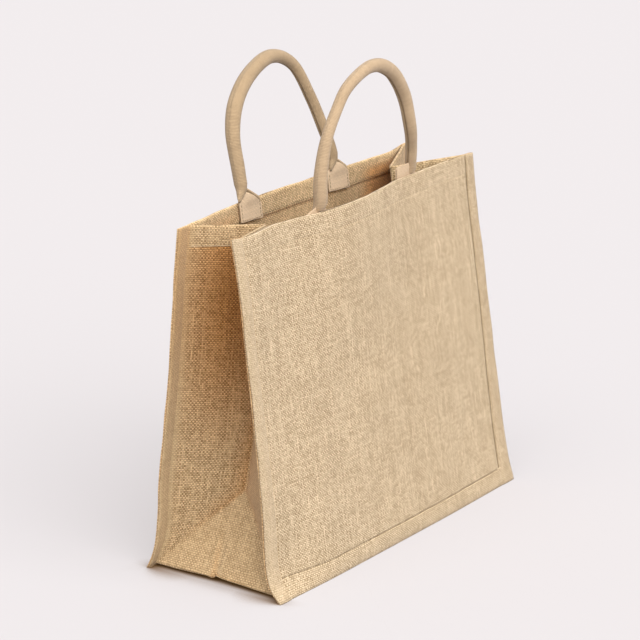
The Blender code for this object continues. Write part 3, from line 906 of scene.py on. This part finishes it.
def thread_material(name, colour):
    """Twisted thread: slanted plies across each stitch."""
    _, w, shader = new_material(name)
    place = w.put("ShaderNodeUVMap", uv_map=CLOTH_MAP).outputs["UV"]
    split = w.put("ShaderNodeSeparateXYZ", {0: place}).outputs
    slant = w.add(w.times(split["X"], 2400.0), w.times(split["Y"], 6000.0))
    plies = w.sum("ABSOLUTE", w.sum("SINE", slant))
    # Painted shade: the thread is darker in the hollows between its plies.
    dark = tuple(c * 0.55 for c in colour) + (1.0,)
    relief = w.put("ShaderNodeBump", {"Height": plies, "Strength": 0.6, "Distance": 0.0001})
    w.feed(shader, {
        "Base Color": w.mix(plies, dark, tuple(colour) + (1.0,)),
        "Normal": relief.outputs["Normal"],
        "Roughness": 0.75,
        "Specular IOR Level": 0.3,
    })


# Pieces.

def panel_masks(place, up):
    """Masks of a panel's outer and inner face: its sewn bands show less weave, and painted shade
    darkens its lines of sewing and its inner face below the hem, most in the inner corners."""
    from_line = np.abs(place) - SIDE_LINE
    left = place < 0.0
    flange = smooth(from_line / BORDER) * np.where(left, 0.40, 0.0)
    foot = smooth((FOOT_LINE - up) / BORDER) * 0.10
    band = np.maximum(flange, foot)
    above_foot = smooth((up - FOOT_LINE) / BORDER)
    # Painted shade along the seams' grooves: strong on the right line, faint on the left, at the
    # foot seam and across the foot band.
    lines = bell(from_line, GROOVE_HALF_WIDTH) * above_foot * np.where(left, 0.06, 0.75)
    in_middle = from_line < 0.0
    lines = np.maximum(lines, bell(up - FOOT_LINE, 0.0011) * in_middle * 0.22)
    lines = np.maximum(lines, 0.05 * smooth((FOOT_LINE - up) / BORDER))
    # Painted shade on the inner face: faint below the hem, a line just under the hem's edge, and
    # deepest in the pocket of each inner corner by the side seams.
    inside = 0.10 * smooth((HEM_LINE - up) / 0.006)
    pocket = smooth((np.abs(place) - 0.095) / 0.035) * smooth((PANEL_HEIGHT - 0.003 - up) / 0.012)
    inside = np.maximum(inside, 0.9 * pocket * np.where(place > 0.0, 1.0, 0.4))
    inside = np.maximum(inside, 0.5 * bell(up - HEM_LINE + 0.0025, 0.0009))
    return {BAND_MASK: (band, 0.0 * band), SHADE_MASK: (lines, inside)}


def build_panel(panel, tint, openness, contrast, shade):
    """One panel with its sewing."""
    cloth = bpy.context.scene.jute_cloth
    place, up = panel_grid(cloth.mesh_step)
    if panel == "back":
        place = place[:, ::-1]
    outer = panel_points(panel, place, up)
    inner = panel_points(panel, place, up, inside=True)
    flat = np.stack([panel_across(panel, place, up), up], axis=-1)
    pitch = cloth.panel_yarn_pitch
    material = jute_material(panel + "_jute", tint, openness, contrast, pitch, shade)
    name = panel + "_panel_cloth"
    masks = panel_masks(place, up)
    item = add_cloth(name, outer, inner, flat, material, masks)
    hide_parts(panel + "_panel")
    dark, pale = panel_lines(panel)
    sewing = [
        add_stitches(f"{panel}_panel_{tone}_stitches", lines, tone + "_thread")
        for tone, lines in (("dark", dark), ("pale", pale))
    ]


def panel_line(panel, place, up, inside=False):
    """Path on a panel's face and its outward normals."""
    points = panel_points(panel, place, up, inside=inside)
    across = panel_points(panel, np.asarray(place) + 0.001, up, inside=inside)
    above = panel_points(panel, place, np.asarray(up) + 0.001, inside=inside)
    normals = unit(np.cross(across - points, above - points))
    wanted = facing(panel) * (-1.0 if inside else 1.0)
    normals *= np.sign(normals[:, 1:2]) * wanted
    return points, normals


def panel_lines(panel):
    """Lines of sewing on a panel: those in dark thread, and those in pale thread."""
    ups = np.arange(FOOT_LINE, PANEL_HEIGHT - 0.001, 0.002)
    left, right = (panel_line(panel, np.full(len(ups), side * SIDE_LINE), ups) for side in (-1, 1))
    places = np.arange(-SIDE_LINE, SIDE_LINE, 0.002)
    foot = panel_line(panel, places, np.full(len(places), FOOT_LINE))
    hem = panel_line(panel, places, np.full(len(places), HEM_LINE))
    places = np.arange(-HEM_END_X - 0.01, HEM_END_X + 0.01, 0.002)
    inner_hem = panel_line(panel, places, np.full(len(places), HEM_LINE), inside=True)
    return [right, inner_hem, foot], [left, hem]


def gusset_masks(over, up, hem, before):
    """Masks of the gusset's two faces: painted shade makes its cloth darker and redder the deeper
    it lies in the fold, along its crease, beside the notch's valley and on its inner face.
    """
    inward = np.clip(1.0 - np.abs(over) / FOLD, 0.0, 1.0)
    rise = np.clip(up / FOLD, 0.0, 1.0)
    on_wall = smooth((rise - inward + 0.04) / 0.08)
    high = smooth((up - 0.05) / 0.24)
    deep = smooth((inward + 0.45) / 1.05) * high
    from_crease = np.clip(rise - inward, 0.0, 1.0)
    crease = 0.75 * inward * np.exp(-(from_crease / 0.30))
    crease = np.maximum(crease, 0.45 * bell(from_crease, 0.035) * (rise < 0.99))
    shade = np.maximum(deep, crease) * on_wall * (1.0 - 0.9 * hem)
    front_wall = (over < -0.004) * on_wall * smooth((FOLD - np.abs(over)) / 0.01)
    shade = np.maximum(blend(shade, 0.45 * (1.0 - hem), 0.8 * front_wall), 0.14)
    flank = bell(before + 0.0035, 0.0035) * smooth(1.0 - up / 0.075)
    shade = np.maximum(shade, 0.42 * flank * (up > -0.002))
    # Painted light: along the back seam the band mask lightens the strip that lies in shade, and
    # low down the painted shade is taken off.
    seam = smooth((np.abs(over) - FOLD + 0.010) / 0.008) * (over > 0.0)
    shade = shade * (1.0 - 0.8 * seam * (1.0 - high))
    band = np.maximum(np.maximum(0.3 * (1.0 - on_wall), 0.5 * front_wall), 0.55 * seam)
    return {BAND_MASK: (band, 0.0 * band), SHADE_MASK: (shade, 0.5 * (1.0 - hem))}


def build_gusset(tint, openness, contrast):
    """The strip that is both sides and the base, with its sewing."""
    cloth = bpy.context.scene.jute_cloth
    middle, flat, flange = gusset_middle(cloth.mesh_step)
    middle = relaxed(middle, flange + 2, CREASE_SOFTENING)
    over, along = flat[..., 0], flat[..., 1]
    up = np.abs(along) - BASE_EDGE_X
    before = NOTCH_OVER + NOTCH_LEAN * np.clip(up, 0.0, 1.0) / NOTCH_HEIGHT - over
    dent = np.where(before < 0.0, bell(before, 0.0016), np.exp(-np.abs(before) / 0.008))
    dent -= 0.35 * bell(before + 0.005, 0.004)
    near_edge = np.where(up > 0.0, smooth(1.0 - up / 0.020), smooth(1.0 + up / 0.012))
    middle[..., 2] += NOTCH * dent * near_edge
    inside = grid_normals(middle)
    free = smooth((FOLD - np.abs(over)) / 0.03)
    swell = cloth.unevenness * free * unevenness(over, along, 0.06, 8)
    swell += 0.4 * cloth.unevenness * free * unevenness(over, along, 0.025, 9)
    hem_start = SIDE_LENGTH - HEM_DEPTH
    sewn = bell(up - hem_start, 0.0012) * free
    swell -= 0.0004 * sewn
    valley = bell(before, 0.0040) * smooth(1.0 - up / 0.075) * smooth(up / 0.002)
    swell -= 0.0022 * valley
    middle = middle - inside * swell[..., None]
    columns = middle.shape[1]
    for start, stop, panel in ((0, flange, "front"), (columns - flange, columns, "back")):
        inside[:, start:stop] = (0.0, facing(panel), 0.0)
    hem = smooth((up - hem_start) / 0.0012) * smooth((FOLD - 0.001 - np.abs(over)) / 0.003)
    outer = middle - inside * CLOTH / 2.0
    inner = middle + inside * (CLOTH / 2.0 + HEM_EXTRA * hem)[..., None]
    pitch = cloth.gusset_yarn_pitch
    material = jute_material("gusset_jute", tint, openness, contrast, pitch, cloth.shade)
    masks = gusset_masks(over, up, hem, before)
    item = add_cloth("gusset_cloth", outer, inner, flat, material, masks)
    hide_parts("gusset")
    rows = np.array([
        int(np.argmin(np.abs(along[:, 0] - side * (BASE_EDGE_X + hem_start + HEM_SEWING))))
        for side in (-1.0, 1.0)
    ])
    lines = []
    columns_used = slice(flange + 2, columns - flange - 2)
    for row in rows:
        lines.append((outer[row, columns_used], -inside[row, columns_used]))
        lines.append((inner[row, columns_used], inside[row, columns_used]))
    sewing = add_stitches("gusset_stitches", lines, "pale_thread")


def route_curve(route, step):
    """Evenly spaced points on the smooth curve through a route's rows, and the size at each."""
    knots = np.array(route)
    first, last = 2.0 * knots[0] - knots[1], 2.0 * knots[-1] - knots[-2]
    knots = np.concatenate([[first], knots, [last]])
    fine = []
    shares = np.linspace(0.0, 1.0, 40, endpoint=False)[:, None]
    for before, near, far, after in zip(knots, knots[1:], knots[2:], knots[3:]):
        fine.append(0.5 * (
            2.0 * near + (far - before) * shares
            + (2.0 * before - 5.0 * near + 4.0 * far - after) * shares**2
            + (3.0 * near - before - 3.0 * far + after) * shares**3
        ))
    fine = np.concatenate(fine + [knots[-2:-1]])
    walked = walked_length(fine[:, :3])
    at = np.linspace(0.0, walked[-1], round(walked[-1] / step) + 1)
    evened = np.stack([np.interp(at, walked, fine[:, k]) for k in range(4)], axis=-1)
    return evened[:, :3], evened[:, 3]


def wall_depth(panel, across, height):
    """Distance of the hem's inner face from the middle plane, also above the mouth."""
    mouth = mouth_height(panel, across)
    return face_depth(panel, across, np.minimum(height, mouth)) - CLOTH - HEM_EXTRA


def leg_sections(end, foot, size):
    """Centre, half width and half depth of a leg's lower end, from its tip up to the rope."""
    mouth = float(mouth_height(end.panel, foot[0]))
    sections = []
    for leg in LEG_ENDS[end.panel]:
        height = mouth + leg.above_mouth
        across = foot[0] - end.wing * leg.aside
        wall = float(wall_depth(end.panel, across, height))
        share = smooth(leg.above_mouth / (foot[2] - mouth))
        off = blend(facing(end.panel) * (wall - leg.off_wall), foot[1], float(share) * 0.8)
        scale = blend(1.0, size, float(share))
        sections.append(
            (np.array([across, off, height]), leg.half_width * scale, leg.half_depth * scale)
        )
    return sections


def tube_parts(panel, sections, arch_shade):
    """Webbing sewn round a rope, through a list of sections. The webbing's edges meet on the
    arch's inner side, in a sunken seam between two soft ridges."""
    centres = np.array([section[0] for section in sections])
    half_widths = np.array([section[1] for section in sections])
    half_depths = np.array([section[2] for section in sections])
    tangents = unit(np.gradient(centres, axis=0))
    out = unit(np.array([0.0, 1.0, 0.0]) - tangents * tangents[:, 1:2])
    aside = np.cross(out, tangents)      # points into the arch
    near = np.array([-0.42, -0.26, -0.14, -0.05, 0.05, 0.14, 0.26, 0.42])
    rest = np.linspace(0.42, 2.0 * pi - 0.42, 25)[1:-1]
    angles = np.concatenate([near, rest])
    from_seam = np.angle(np.exp(1j * angles))
    profile = 1.0 + 0.04 * bell(np.abs(from_seam) - 0.24, 0.12)
    profile -= 0.15 * bell(from_seam, 0.085)
    round_share = np.clip(half_depths / half_widths, 0.0, 1.0)[:, None]
    profile = blend(1.0, profile[None, :], smooth((round_share - 0.5) / 0.4))
    walked = walked_length(centres)
    lumps = 1.0 + 0.022 * unevenness(walked, 0.0, 0.019, 31 if panel == "front" else 32)
    profile = profile * lumps[:, None]
    ring = aside[:, None] * (half_widths[:, None] * profile * np.cos(angles))[..., None]
    ring = ring + out[:, None] * (half_depths[:, None] * profile * np.sin(angles))[..., None]
    points = centres[:, None] + ring
    rings, sides = points.shape[:2]
    first = list(range(sides))
    caps = [first[::-1], [(rings - 1) * sides + side for side in first]]
    flat = np.zeros((rings, sides, 2))
    flat[..., 0] = from_seam * HANDLE_RADIUS
    flat[..., 1] = walked[:, None]
    # Painted shade: the arch is darkened all round, fully in its sunken seam where shade falls, and
    # less where it flattens at the legs' ends.
    shade = blend(arch_shade, 1.0, bell(from_seam, 0.12))
    shade = blend(0.35 * arch_shade, shade[None, :], smooth((round_share - 0.3) / 0.6))
    faces = ring_faces(rings, sides).tolist() + caps
    return points.reshape(-1, 3), faces, flat.reshape(-1, 2), shade.ravel()


def gape_share(side, above):
    """How far a sewn end's front layer stands off the back one, as a share of GAPE."""
    across = smooth((side - 0.10) / 0.35) * smooth((1.10 - side) / 0.35)
    return across * smooth((above + 0.008) / 0.018)


def layer_parts(end, foot, front):
    """One layer of a handle's opened end: the back one lies on the hem, and the front one is the
    webbing's folded-up end, which gapes at its top edge."""
    panel, wing = end.panel, end.wing
    turn = facing(panel)
    middle = foot[0] + wing * end.aside
    near_edge, far_edge = middle - wing * PATCH_HALF_WIDTH, middle + wing * PATCH_HALF_WIDTH
    side = np.linspace(0.0, 1.0, 26)[None, :]
    rise = np.linspace(0.0, 1.0, 34)[:, None]
    across = blend(near_edge, far_edge, side) + 0.0 * rise
    mouth = mouth_height(panel, across)
    leg = (foot[0] + wing * 0.006 - near_edge) / (far_edge - near_edge)
    past_leg = np.clip((side - leg) / (1.0 - leg), 0.0, 1.0)
    back_top = blend(end.near, end.far, past_leg)
    bulge = 0.0016 * np.sin(pi * past_leg)
    front_top = back_top - blend(end.near_drop, end.far_drop, past_leg) + bulge
    corner = smooth(side / leg) ** 0.8
    back_top = np.where(side < leg, blend(0.0010, back_top, corner), back_top)
    front_top = np.where(side < leg, blend(0.0010, front_top, corner), front_top)
    top = front_top if front else back_top
    bottom = -PATCH_BELOW - PATCH_TILT * side + (0.0006 if front else 0.0)
    above = blend(bottom, top, rise)
    across = across - PATCH_SLANT[panel] * above
    height = mouth + above
    wall = wall_depth(panel, across, height)
    off = PATCH_GAP - 0.12 * np.maximum(above, 0.0) * (1.0 - past_leg)
    # Painted shade: the back layer is a little darker all over, and fully in the gap just above the
    # front layer's top edge, where shade falls.
    lip = blend(0.0026, 0.0024, past_leg) - 0.65 * bulge
    shade = blend(0.30, 1.0, smooth((back_top - lip - above) / 0.0007))
    if front:
        shade = 0.0 * above
        off = off + WEBBING + LAYER_GAP + GAPE * gape_share(side, above)
    points = np.stack([across, turn * (wall - off), height], axis=-1)
    inner = np.stack([across, turn * (wall - off - WEBBING), height], axis=-1)
    flat = np.stack([across, height], axis=-1)
    if turn * wing > 0:
        points, inner, flat = points[:, ::-1], inner[:, ::-1], flat[:, ::-1]
        shade = shade[:, ::-1]
    cloth_points, faces, places = sheet_parts(points, inner, flat, EDGE_ROUNDING)
    shade = sheet_mask(0.0 * shade + 0.3, shade)
    path = None
    if front:
        box_side = np.concatenate([
            np.full(14, 0.07), np.linspace(0.07, 0.93, 30), np.full(14, 0.93)
        ])
        box_above = np.concatenate([
            np.linspace(0.0, 1.0, 14), np.ones(30), np.linspace(1.0, 0.0, 14)
        ])
        box_above = blend(-0.001, 0.0022 - PATCH_BELOW - PATCH_TILT * box_side, box_above)
        box_across = blend(near_edge, far_edge, box_side)
        box_across = box_across - PATCH_SLANT[panel] * box_above
        box_height = mouth_height(panel, box_across) + box_above
        box_off = PATCH_GAP + 2.0 * WEBBING + LAYER_GAP + GAPE * gape_share(box_side, box_above)
        box_wall = wall_depth(panel, box_across, box_height)
        path = np.stack([box_across, turn * (box_wall - box_off), box_height], axis=-1)
        normals = np.tile((0.0, -turn, 0.0), (len(path), 1))
        path = (path, normals)
    return (cloth_points, faces.tolist(), places, shade), path


def build_handle(panel, tint, arch_shade):
    """One handle: the padded arch, and at each end two layers of opened webbing. The last argument
    says how much painted shade darkens the arch beyond its ends."""
    webbing = bpy.context.scene.jute_webbing
    points, sizes = route_curve(ROUTES[panel], webbing.mesh_step)
    ends = [end for end in SEWN_ENDS if end.panel == panel]
    radii = HANDLE_RADIUS * sizes
    sections = leg_sections(ends[0], points[0], sizes[0])
    sections += [(points[k], radii[k], radii[k]) for k in range(1, len(points) - 1)]
    sections += reversed(leg_sections(ends[1], points[-1], sizes[-1]))
    *tube, shade = tube_parts(panel, sections, arch_shade)
    parts, lines, shades = [tube], [], [shade]
    for end, foot in zip(ends, (points[0], points[-1])):
        for front in (False, True):
            (*layer, shade), path = layer_parts(end, foot, front)
            parts.append(layer)
            shades.append(shade)
            if path is not None:
                lines.append(path)
    name = panel + "_handle_webbing"
    material = webbing_material(panel + "_webbing", tint)
    masks = {SHADE_MASK: np.concatenate(shades)}
    mesh = build_mesh(name, *join_parts(parts), masks)
    item = link_piece(name, mesh, material)
    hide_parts(panel + "_handle")
    add_stitches(panel + "_handle_stitches", lines, "handle_thread")


# Settings.

def length_setting(name, description, default, low, high, precision=4):
    return FloatProperty(
        name=name, description=description, default=default, min=low, max=high,
        subtype="DISTANCE", unit="LENGTH", precision=precision,
    )


def pitch_setting(name, description, default):
    return FloatVectorProperty(
        name=name, description=description, default=default, min=0.0005, max=0.01, size=2,
        unit="LENGTH", precision=5,
    )


def colour_setting(name, description, default):
    return FloatVectorProperty(
        name=name, description=description, default=default, min=0.0, max=1.0, size=3,
        subtype="COLOR",
    )


def share_setting(name, description, default):
    return FloatProperty(
        name=name, description=description, default=default, min=0.0, max=1.0, subtype="FACTOR"
    )


def strength_setting(name, description, default, high):
    return FloatProperty(name=name, description=description, default=default, min=0.0, max=high)


class ClothSettings(bpy.types.PropertyGroup):
    """Sizes and colours of the jute cloth."""

    mesh_step: length_setting(
        "Mesh Step", "Distance between the cloth's points", 0.0030, 0.0015, 0.02
    )
    unevenness: length_setting(
        "Unevenness", "How far the soft cloth stands in and out", 0.0011, 0.0, 0.004
    )
    panel_yarn_pitch: pitch_setting(
        "Panel Yarns", "Distances between a panel's upright and level yarns", (0.00172, 0.00180)
    )
    gusset_yarn_pitch: pitch_setting(
        "Gusset Yarns", "Distances between the gusset's long and cross yarns", (0.00176, 0.00194)
    )
    light_yarn: colour_setting("Light Yarn", "Colour of the lightest yarns", (0.715, 0.560, 0.370))
    dark_yarn: colour_setting("Dark Yarn", "Colour of the darkest yarns", (0.32, 0.225, 0.120))
    # Painted shade in the hollows between the yarns.
    gap_shade: colour_setting(
        "Gap Colour", "Colour of the cloth between the yarns", (0.13, 0.072, 0.028)
    )
    shade: colour_setting(
        "Fold Shade", "What the colour is multiplied by deep in a fold", (0.88, 0.58, 0.30)
    )
    seam_shade: colour_setting(
        "Seam Shade", "What the front panel's colour is multiplied by in a seam",
        (0.36, 0.31, 0.20),
    )
    slub: share_setting("Slub", "How light the yarns' thick places are", 0.60)
    mottle: share_setting("Mottle", "Strength of broad light and dark areas", 0.12)


class WebbingSettings(bpy.types.PropertyGroup):
    """Sizes and colours of the handles' webbing."""

    mesh_step: length_setting("Mesh Step", "Distance between a handle's rings", 0.0025, 0.001, 0.01)
    rib: length_setting(
        "Rib", "Distance from one rib of the webbing to the next", 0.0014, 0.0005, 0.01
    )
    light_yarn: colour_setting("Light Yarn", "Colour of the ribs' tops", (0.92, 0.70, 0.475))
    # Painted shade: the webbing's rib hollows take this darker colour.
    dark_yarn: colour_setting("Dark Yarn", "Colour between the ribs", (0.54, 0.395, 0.255))
    shade: colour_setting(
        "Shade", "What the colour is multiplied by in the seam and in gaps", (0.32, 0.28, 0.20)
    )


class SewingSettings(bpy.types.PropertyGroup):
    """Sizes and colours of the sewing."""

    stitch_length: length_setting(
        "Stitch Length", "Length of one stitch that shows", 0.0034, 0.001, 0.01
    )
    stitch_gap: length_setting("Stitch Gap", "Distance between two stitches", 0.0007, 0.0002, 0.01)
    thread_radius: length_setting(
        "Thread Radius", "Half the thread's thickness", 0.0003, 0.0001, 0.001, precision=5
    )
    dark_thread: colour_setting(
        "Dark Thread", "Colour of the thread in the right and foot seams and inside the hems",
        (0.17, 0.12, 0.06),
    )
    pale_thread: colour_setting(
        "Pale Thread", "Colour of the thread that matches the cloth", (0.72, 0.55, 0.36)
    )
    handle_thread: colour_setting(
        "Handle Thread", "Colour of the thread in the webbing", (0.46, 0.32, 0.19)
    )


class StudioSettings(bpy.types.PropertyGroup):
    """Light, floor and camera."""

    lens: FloatProperty(
        name="Lens", description="Focal length on a 36 mm sensor",
        default=148.69, min=20.0, max=400.0, unit="CAMERA",
    )
    key_strength: strength_setting("Key Strength", "Strength of the soft main light", 3.1, 20.0)
    key_angle: FloatProperty(
        name="Key Softness", description="Size of the main light as the bag sees it",
        default=radians(60.0), min=0.0, max=pi, subtype="ANGLE", unit="ROTATION",
    )
    fill_strength: strength_setting(
        "Fill Strength", "Strength of the soft light from above the gusset", 1.4, 20.0
    )
    sky_strength: strength_setting(
        "Sky Strength", "Strength of the even light from all round", 0.60, 5.0
    )
    floor_glow: strength_setting(
        "Floor Glow", "How bright the backlit floor looks by itself", 0.44, 1.0
    )
    floor_light: strength_setting(
        "Floor Light", "Light that the floor throws on the bag by itself", 0.12, 1.0
    )
    floor_colour: colour_setting("Floor Colour", "Colour of the floor", (0.280, 0.268, 0.272))


# Operators.

class JUTEBAG_OT_threads(bpy.types.Operator):
    """Make the three sewing threads"""

    bl_idname = "jutebag.threads"
    bl_label = "Threads"
    bl_options = {"REGISTER", "UNDO"}

    def execute(self, context):
        sewing = context.scene.jute_sewing
        for name in ("dark_thread", "pale_thread", "handle_thread"):
            thread_material(name, getattr(sewing, name))
        return {"FINISHED"}


class JUTEBAG_OT_panels(bpy.types.Operator):
    """Build the front and back panels with their hems and seams"""

    bl_idname = "jutebag.panels"
    bl_label = "Panels"
    bl_options = {"REGISTER", "UNDO"}

    def execute(self, context):
        cloth = context.scene.jute_cloth
        build_panel("front", (0.955, 0.95, 0.955), 0.50, 1.05, cloth.seam_shade)
        # Painted light: the back panel's tint is lighter than the front's, to lighten its shaded
        # inner face.
        build_panel("back", (1.25, 1.15, 0.99), 0.60, 1.0, cloth.shade)
        return {"FINISHED"}


class JUTEBAG_OT_gusset(bpy.types.Operator):
    """Build the strip that is both folded sides and the base"""

    bl_idname = "jutebag.gusset"
    bl_label = "Gusset"
    bl_options = {"REGISTER", "UNDO"}

    def execute(self, context):
        # The gusset's yellower tint is partly the cloth's own tone and partly painted warm light
        # bounced in its fold.
        build_gusset((0.97, 0.92, 0.82), 0.65, 1.2)
        return {"FINISHED"}


class JUTEBAG_OT_handles(bpy.types.Operator):
    """Build the two padded webbing handles with their sewn ends"""

    bl_idname = "jutebag.handles"
    bl_label = "Handles"
    bl_options = {"REGISTER", "UNDO"}

    def execute(self, context):
        # The last number is how much painted shade darkens each arch.
        build_handle("front", (1.0, 0.985, 0.985), 0.56)
        build_handle("back", (1.0, 0.99, 0.98), 0.70)
        return {"FINISHED"}


class JUTEBAG_OT_stage(bpy.types.Operator):
    """Set up the floor, the soft studio light and the camera"""

    bl_idname = "jutebag.stage"
    bl_label = "Stage"
    bl_options = {"REGISTER", "UNDO"}

    def execute(self, context):
        studio = context.scene.jute_studio
        make_floor(studio)
        make_lights(context, studio)
        make_camera(context, studio)
        return {"FINISHED"}


def make_floor(studio):
    """Backlit floor that glows evenly, with a painted brown contact shadow close to the bag."""
    signs = ((-1, -1), (1, -1), (1, 1), (-1, 1))
    corners = [(x * FLOOR_SIZE, y * FLOOR_SIZE, 0.0) for x, y in signs]
    mesh = bpy.data.meshes.new("studio_floor")
    mesh.from_pydata(corners, [], [(0, 1, 2, 3)])
    material, w, shader = new_material("studio_floor")
    seen = w.put("ShaderNodeLightPath").outputs["Is Camera Ray"]
    near = {"Distance": FLOOR_SHADE_REACH}
    closed = w.put("ShaderNodeAmbientOcclusion", near, samples=16).outputs["AO"]
    point = w.put("ShaderNodeNewGeometry").outputs["Position"]
    across = w.put("ShaderNodeSeparateXYZ", {0: point}).outputs["X"]
    # The painted shadow is narrow along the panels and wide beside the left gusset.
    wide = w.spread(closed, 0.10, 0.90)
    beside_gusset = w.spread(across, -0.196, -0.214)
    open_share = w.choose(beside_gusset, w.spread(closed, 0.12, 0.56), w.times(wide, wide))
    seen_glow = w.times(w.spread(open_share, 0.0, 1.0, 0.12, 1.0), studio.floor_glow)
    cast_glow = w.times(w.less(1.0, seen), studio.floor_light)
    w.feed(shader, {
        "Roughness": 0.9,
        "Specular IOR Level": 0.0,
        # Painted shadow: the floor's colour and glow turn dark brown where the bag closes it in.
        "Base Color": w.mix(open_share, (0.13, 0.07, 0.025, 1.0), (*studio.floor_colour, 1.0)),
        "Emission Color": w.mix(open_share, (0.50, 0.27, 0.09, 1.0), (1.0, 0.955, 0.972, 1.0)),
        "Emission Strength": w.add(w.times(seen, seen_glow), cast_glow),
    })
    mesh.materials.append(material)
    floor = bpy.data.objects.new("studio_floor", mesh)
    bpy.context.collection.objects.link(floor)


def make_lights(context, studio):
    world = bpy.data.worlds.new("studio_sky")
    world.use_nodes = True
    sky = world.node_tree.nodes["Background"]
    sky.inputs["Color"].default_value = (1.0, 0.985, 0.99, 1.0)
    sky.inputs["Strength"].default_value = studio.sky_strength
    context.scene.world = world
    for name, strength, towards in (
        ("key_light", studio.key_strength, KEY_DIRECTION),
        ("fill_light", studio.fill_strength, FILL_DIRECTION),
    ):
        light = bpy.data.lights.new(name, "SUN")
        light.energy = strength
        light.angle = studio.key_angle
        light.color = (1.0, 0.99, 0.97)
        item = bpy.data.objects.new(name, light)
        item.rotation_mode = "QUATERNION"
        item.rotation_quaternion = towards.to_track_quat("Z", "Y")
        bpy.context.collection.objects.link(item)


def make_camera(context, studio):
    azimuth, elevation = radians(STUDIO_AZIMUTH), radians(STUDIO_ELEVATION)
    back = Vector((
        sin(azimuth) * cos(elevation), -cos(azimuth) * cos(elevation), sin(elevation)
    ))
    right = Vector((0.0, 0.0, 1.0)).cross(back).normalized()
    up = back.cross(right)
    turn = Matrix.Rotation(radians(STUDIO_ROLL), 3, back)
    right, up = turn @ right, turn @ up
    camera = bpy.data.cameras.new("studio_camera")
    camera.lens = studio.lens
    camera.sensor_width = 36.0
    camera.clip_start, camera.clip_end = 0.1, 100.0
    item = bpy.data.objects.new("studio_camera", camera)
    place = STUDIO_AIM + back * STUDIO_DISTANCE
    item.matrix_world = Matrix((
        (right.x, up.x, back.x, place.x),
        (right.y, up.y, back.y, place.y),
        (right.z, up.z, back.z, place.z),
        (0.0, 0.0, 0.0, 1.0),
    ))
    bpy.context.collection.objects.link(item)
    context.scene.camera = item
    context.scene.view_settings.view_transform = "Standard"


class JUTEBAG_PT_sidebar(bpy.types.Panel):
    """Settings and building steps of the jute bag"""

    bl_idname = "JUTEBAG_PT_sidebar"
    bl_label = "Jute Bag"
    bl_space_type = "VIEW_3D"
    bl_region_type = "UI"
    bl_category = "Jute Bag"

    def draw(self, context):
        scene, layout = context.scene, self.layout
        for title, settings, steps in (
            ("Sewing", scene.jute_sewing, (JUTEBAG_OT_threads,)),
            ("Cloth", scene.jute_cloth, (JUTEBAG_OT_panels, JUTEBAG_OT_gusset)),
            ("Webbing", scene.jute_webbing, (JUTEBAG_OT_handles,)),
            ("Studio", scene.jute_studio, (JUTEBAG_OT_stage,)),
        ):
            box = layout.box()
            box.label(text=title)
            for name in settings.bl_rna.properties.keys():
                if name not in {"rna_type", "name"}:
                    box.prop(settings, name)
            for step in steps:
                box.operator(step.bl_idname)


CLASSES = (
    ClothSettings,
    WebbingSettings,
    SewingSettings,
    StudioSettings,
    JUTEBAG_OT_threads,
    JUTEBAG_OT_panels,
    JUTEBAG_OT_gusset,
    JUTEBAG_OT_handles,
    JUTEBAG_OT_stage,
    JUTEBAG_PT_sidebar,
)


SETTINGS = {
    "jute_cloth": ClothSettings,
    "jute_webbing": WebbingSettings,
    "jute_sewing": SewingSettings,
    "jute_studio": StudioSettings,
}


def register():
    for cls in CLASSES:
        bpy.utils.register_class(cls)
    for name, settings in SETTINGS.items():
        setattr(bpy.types.Scene, name, PointerProperty(type=settings))


def unregister():
    for name in reversed(SETTINGS):
        delattr(bpy.types.Scene, name)
    for cls in reversed(CLASSES):
        bpy.utils.unregister_class(cls)


def main():
    register()
    bpy.ops.jutebag.threads()
    bpy.ops.jutebag.panels()
    bpy.ops.jutebag.gusset()
    bpy.ops.jutebag.handles()
    bpy.ops.jutebag.stage()


if __name__ == "__main__":
    main()
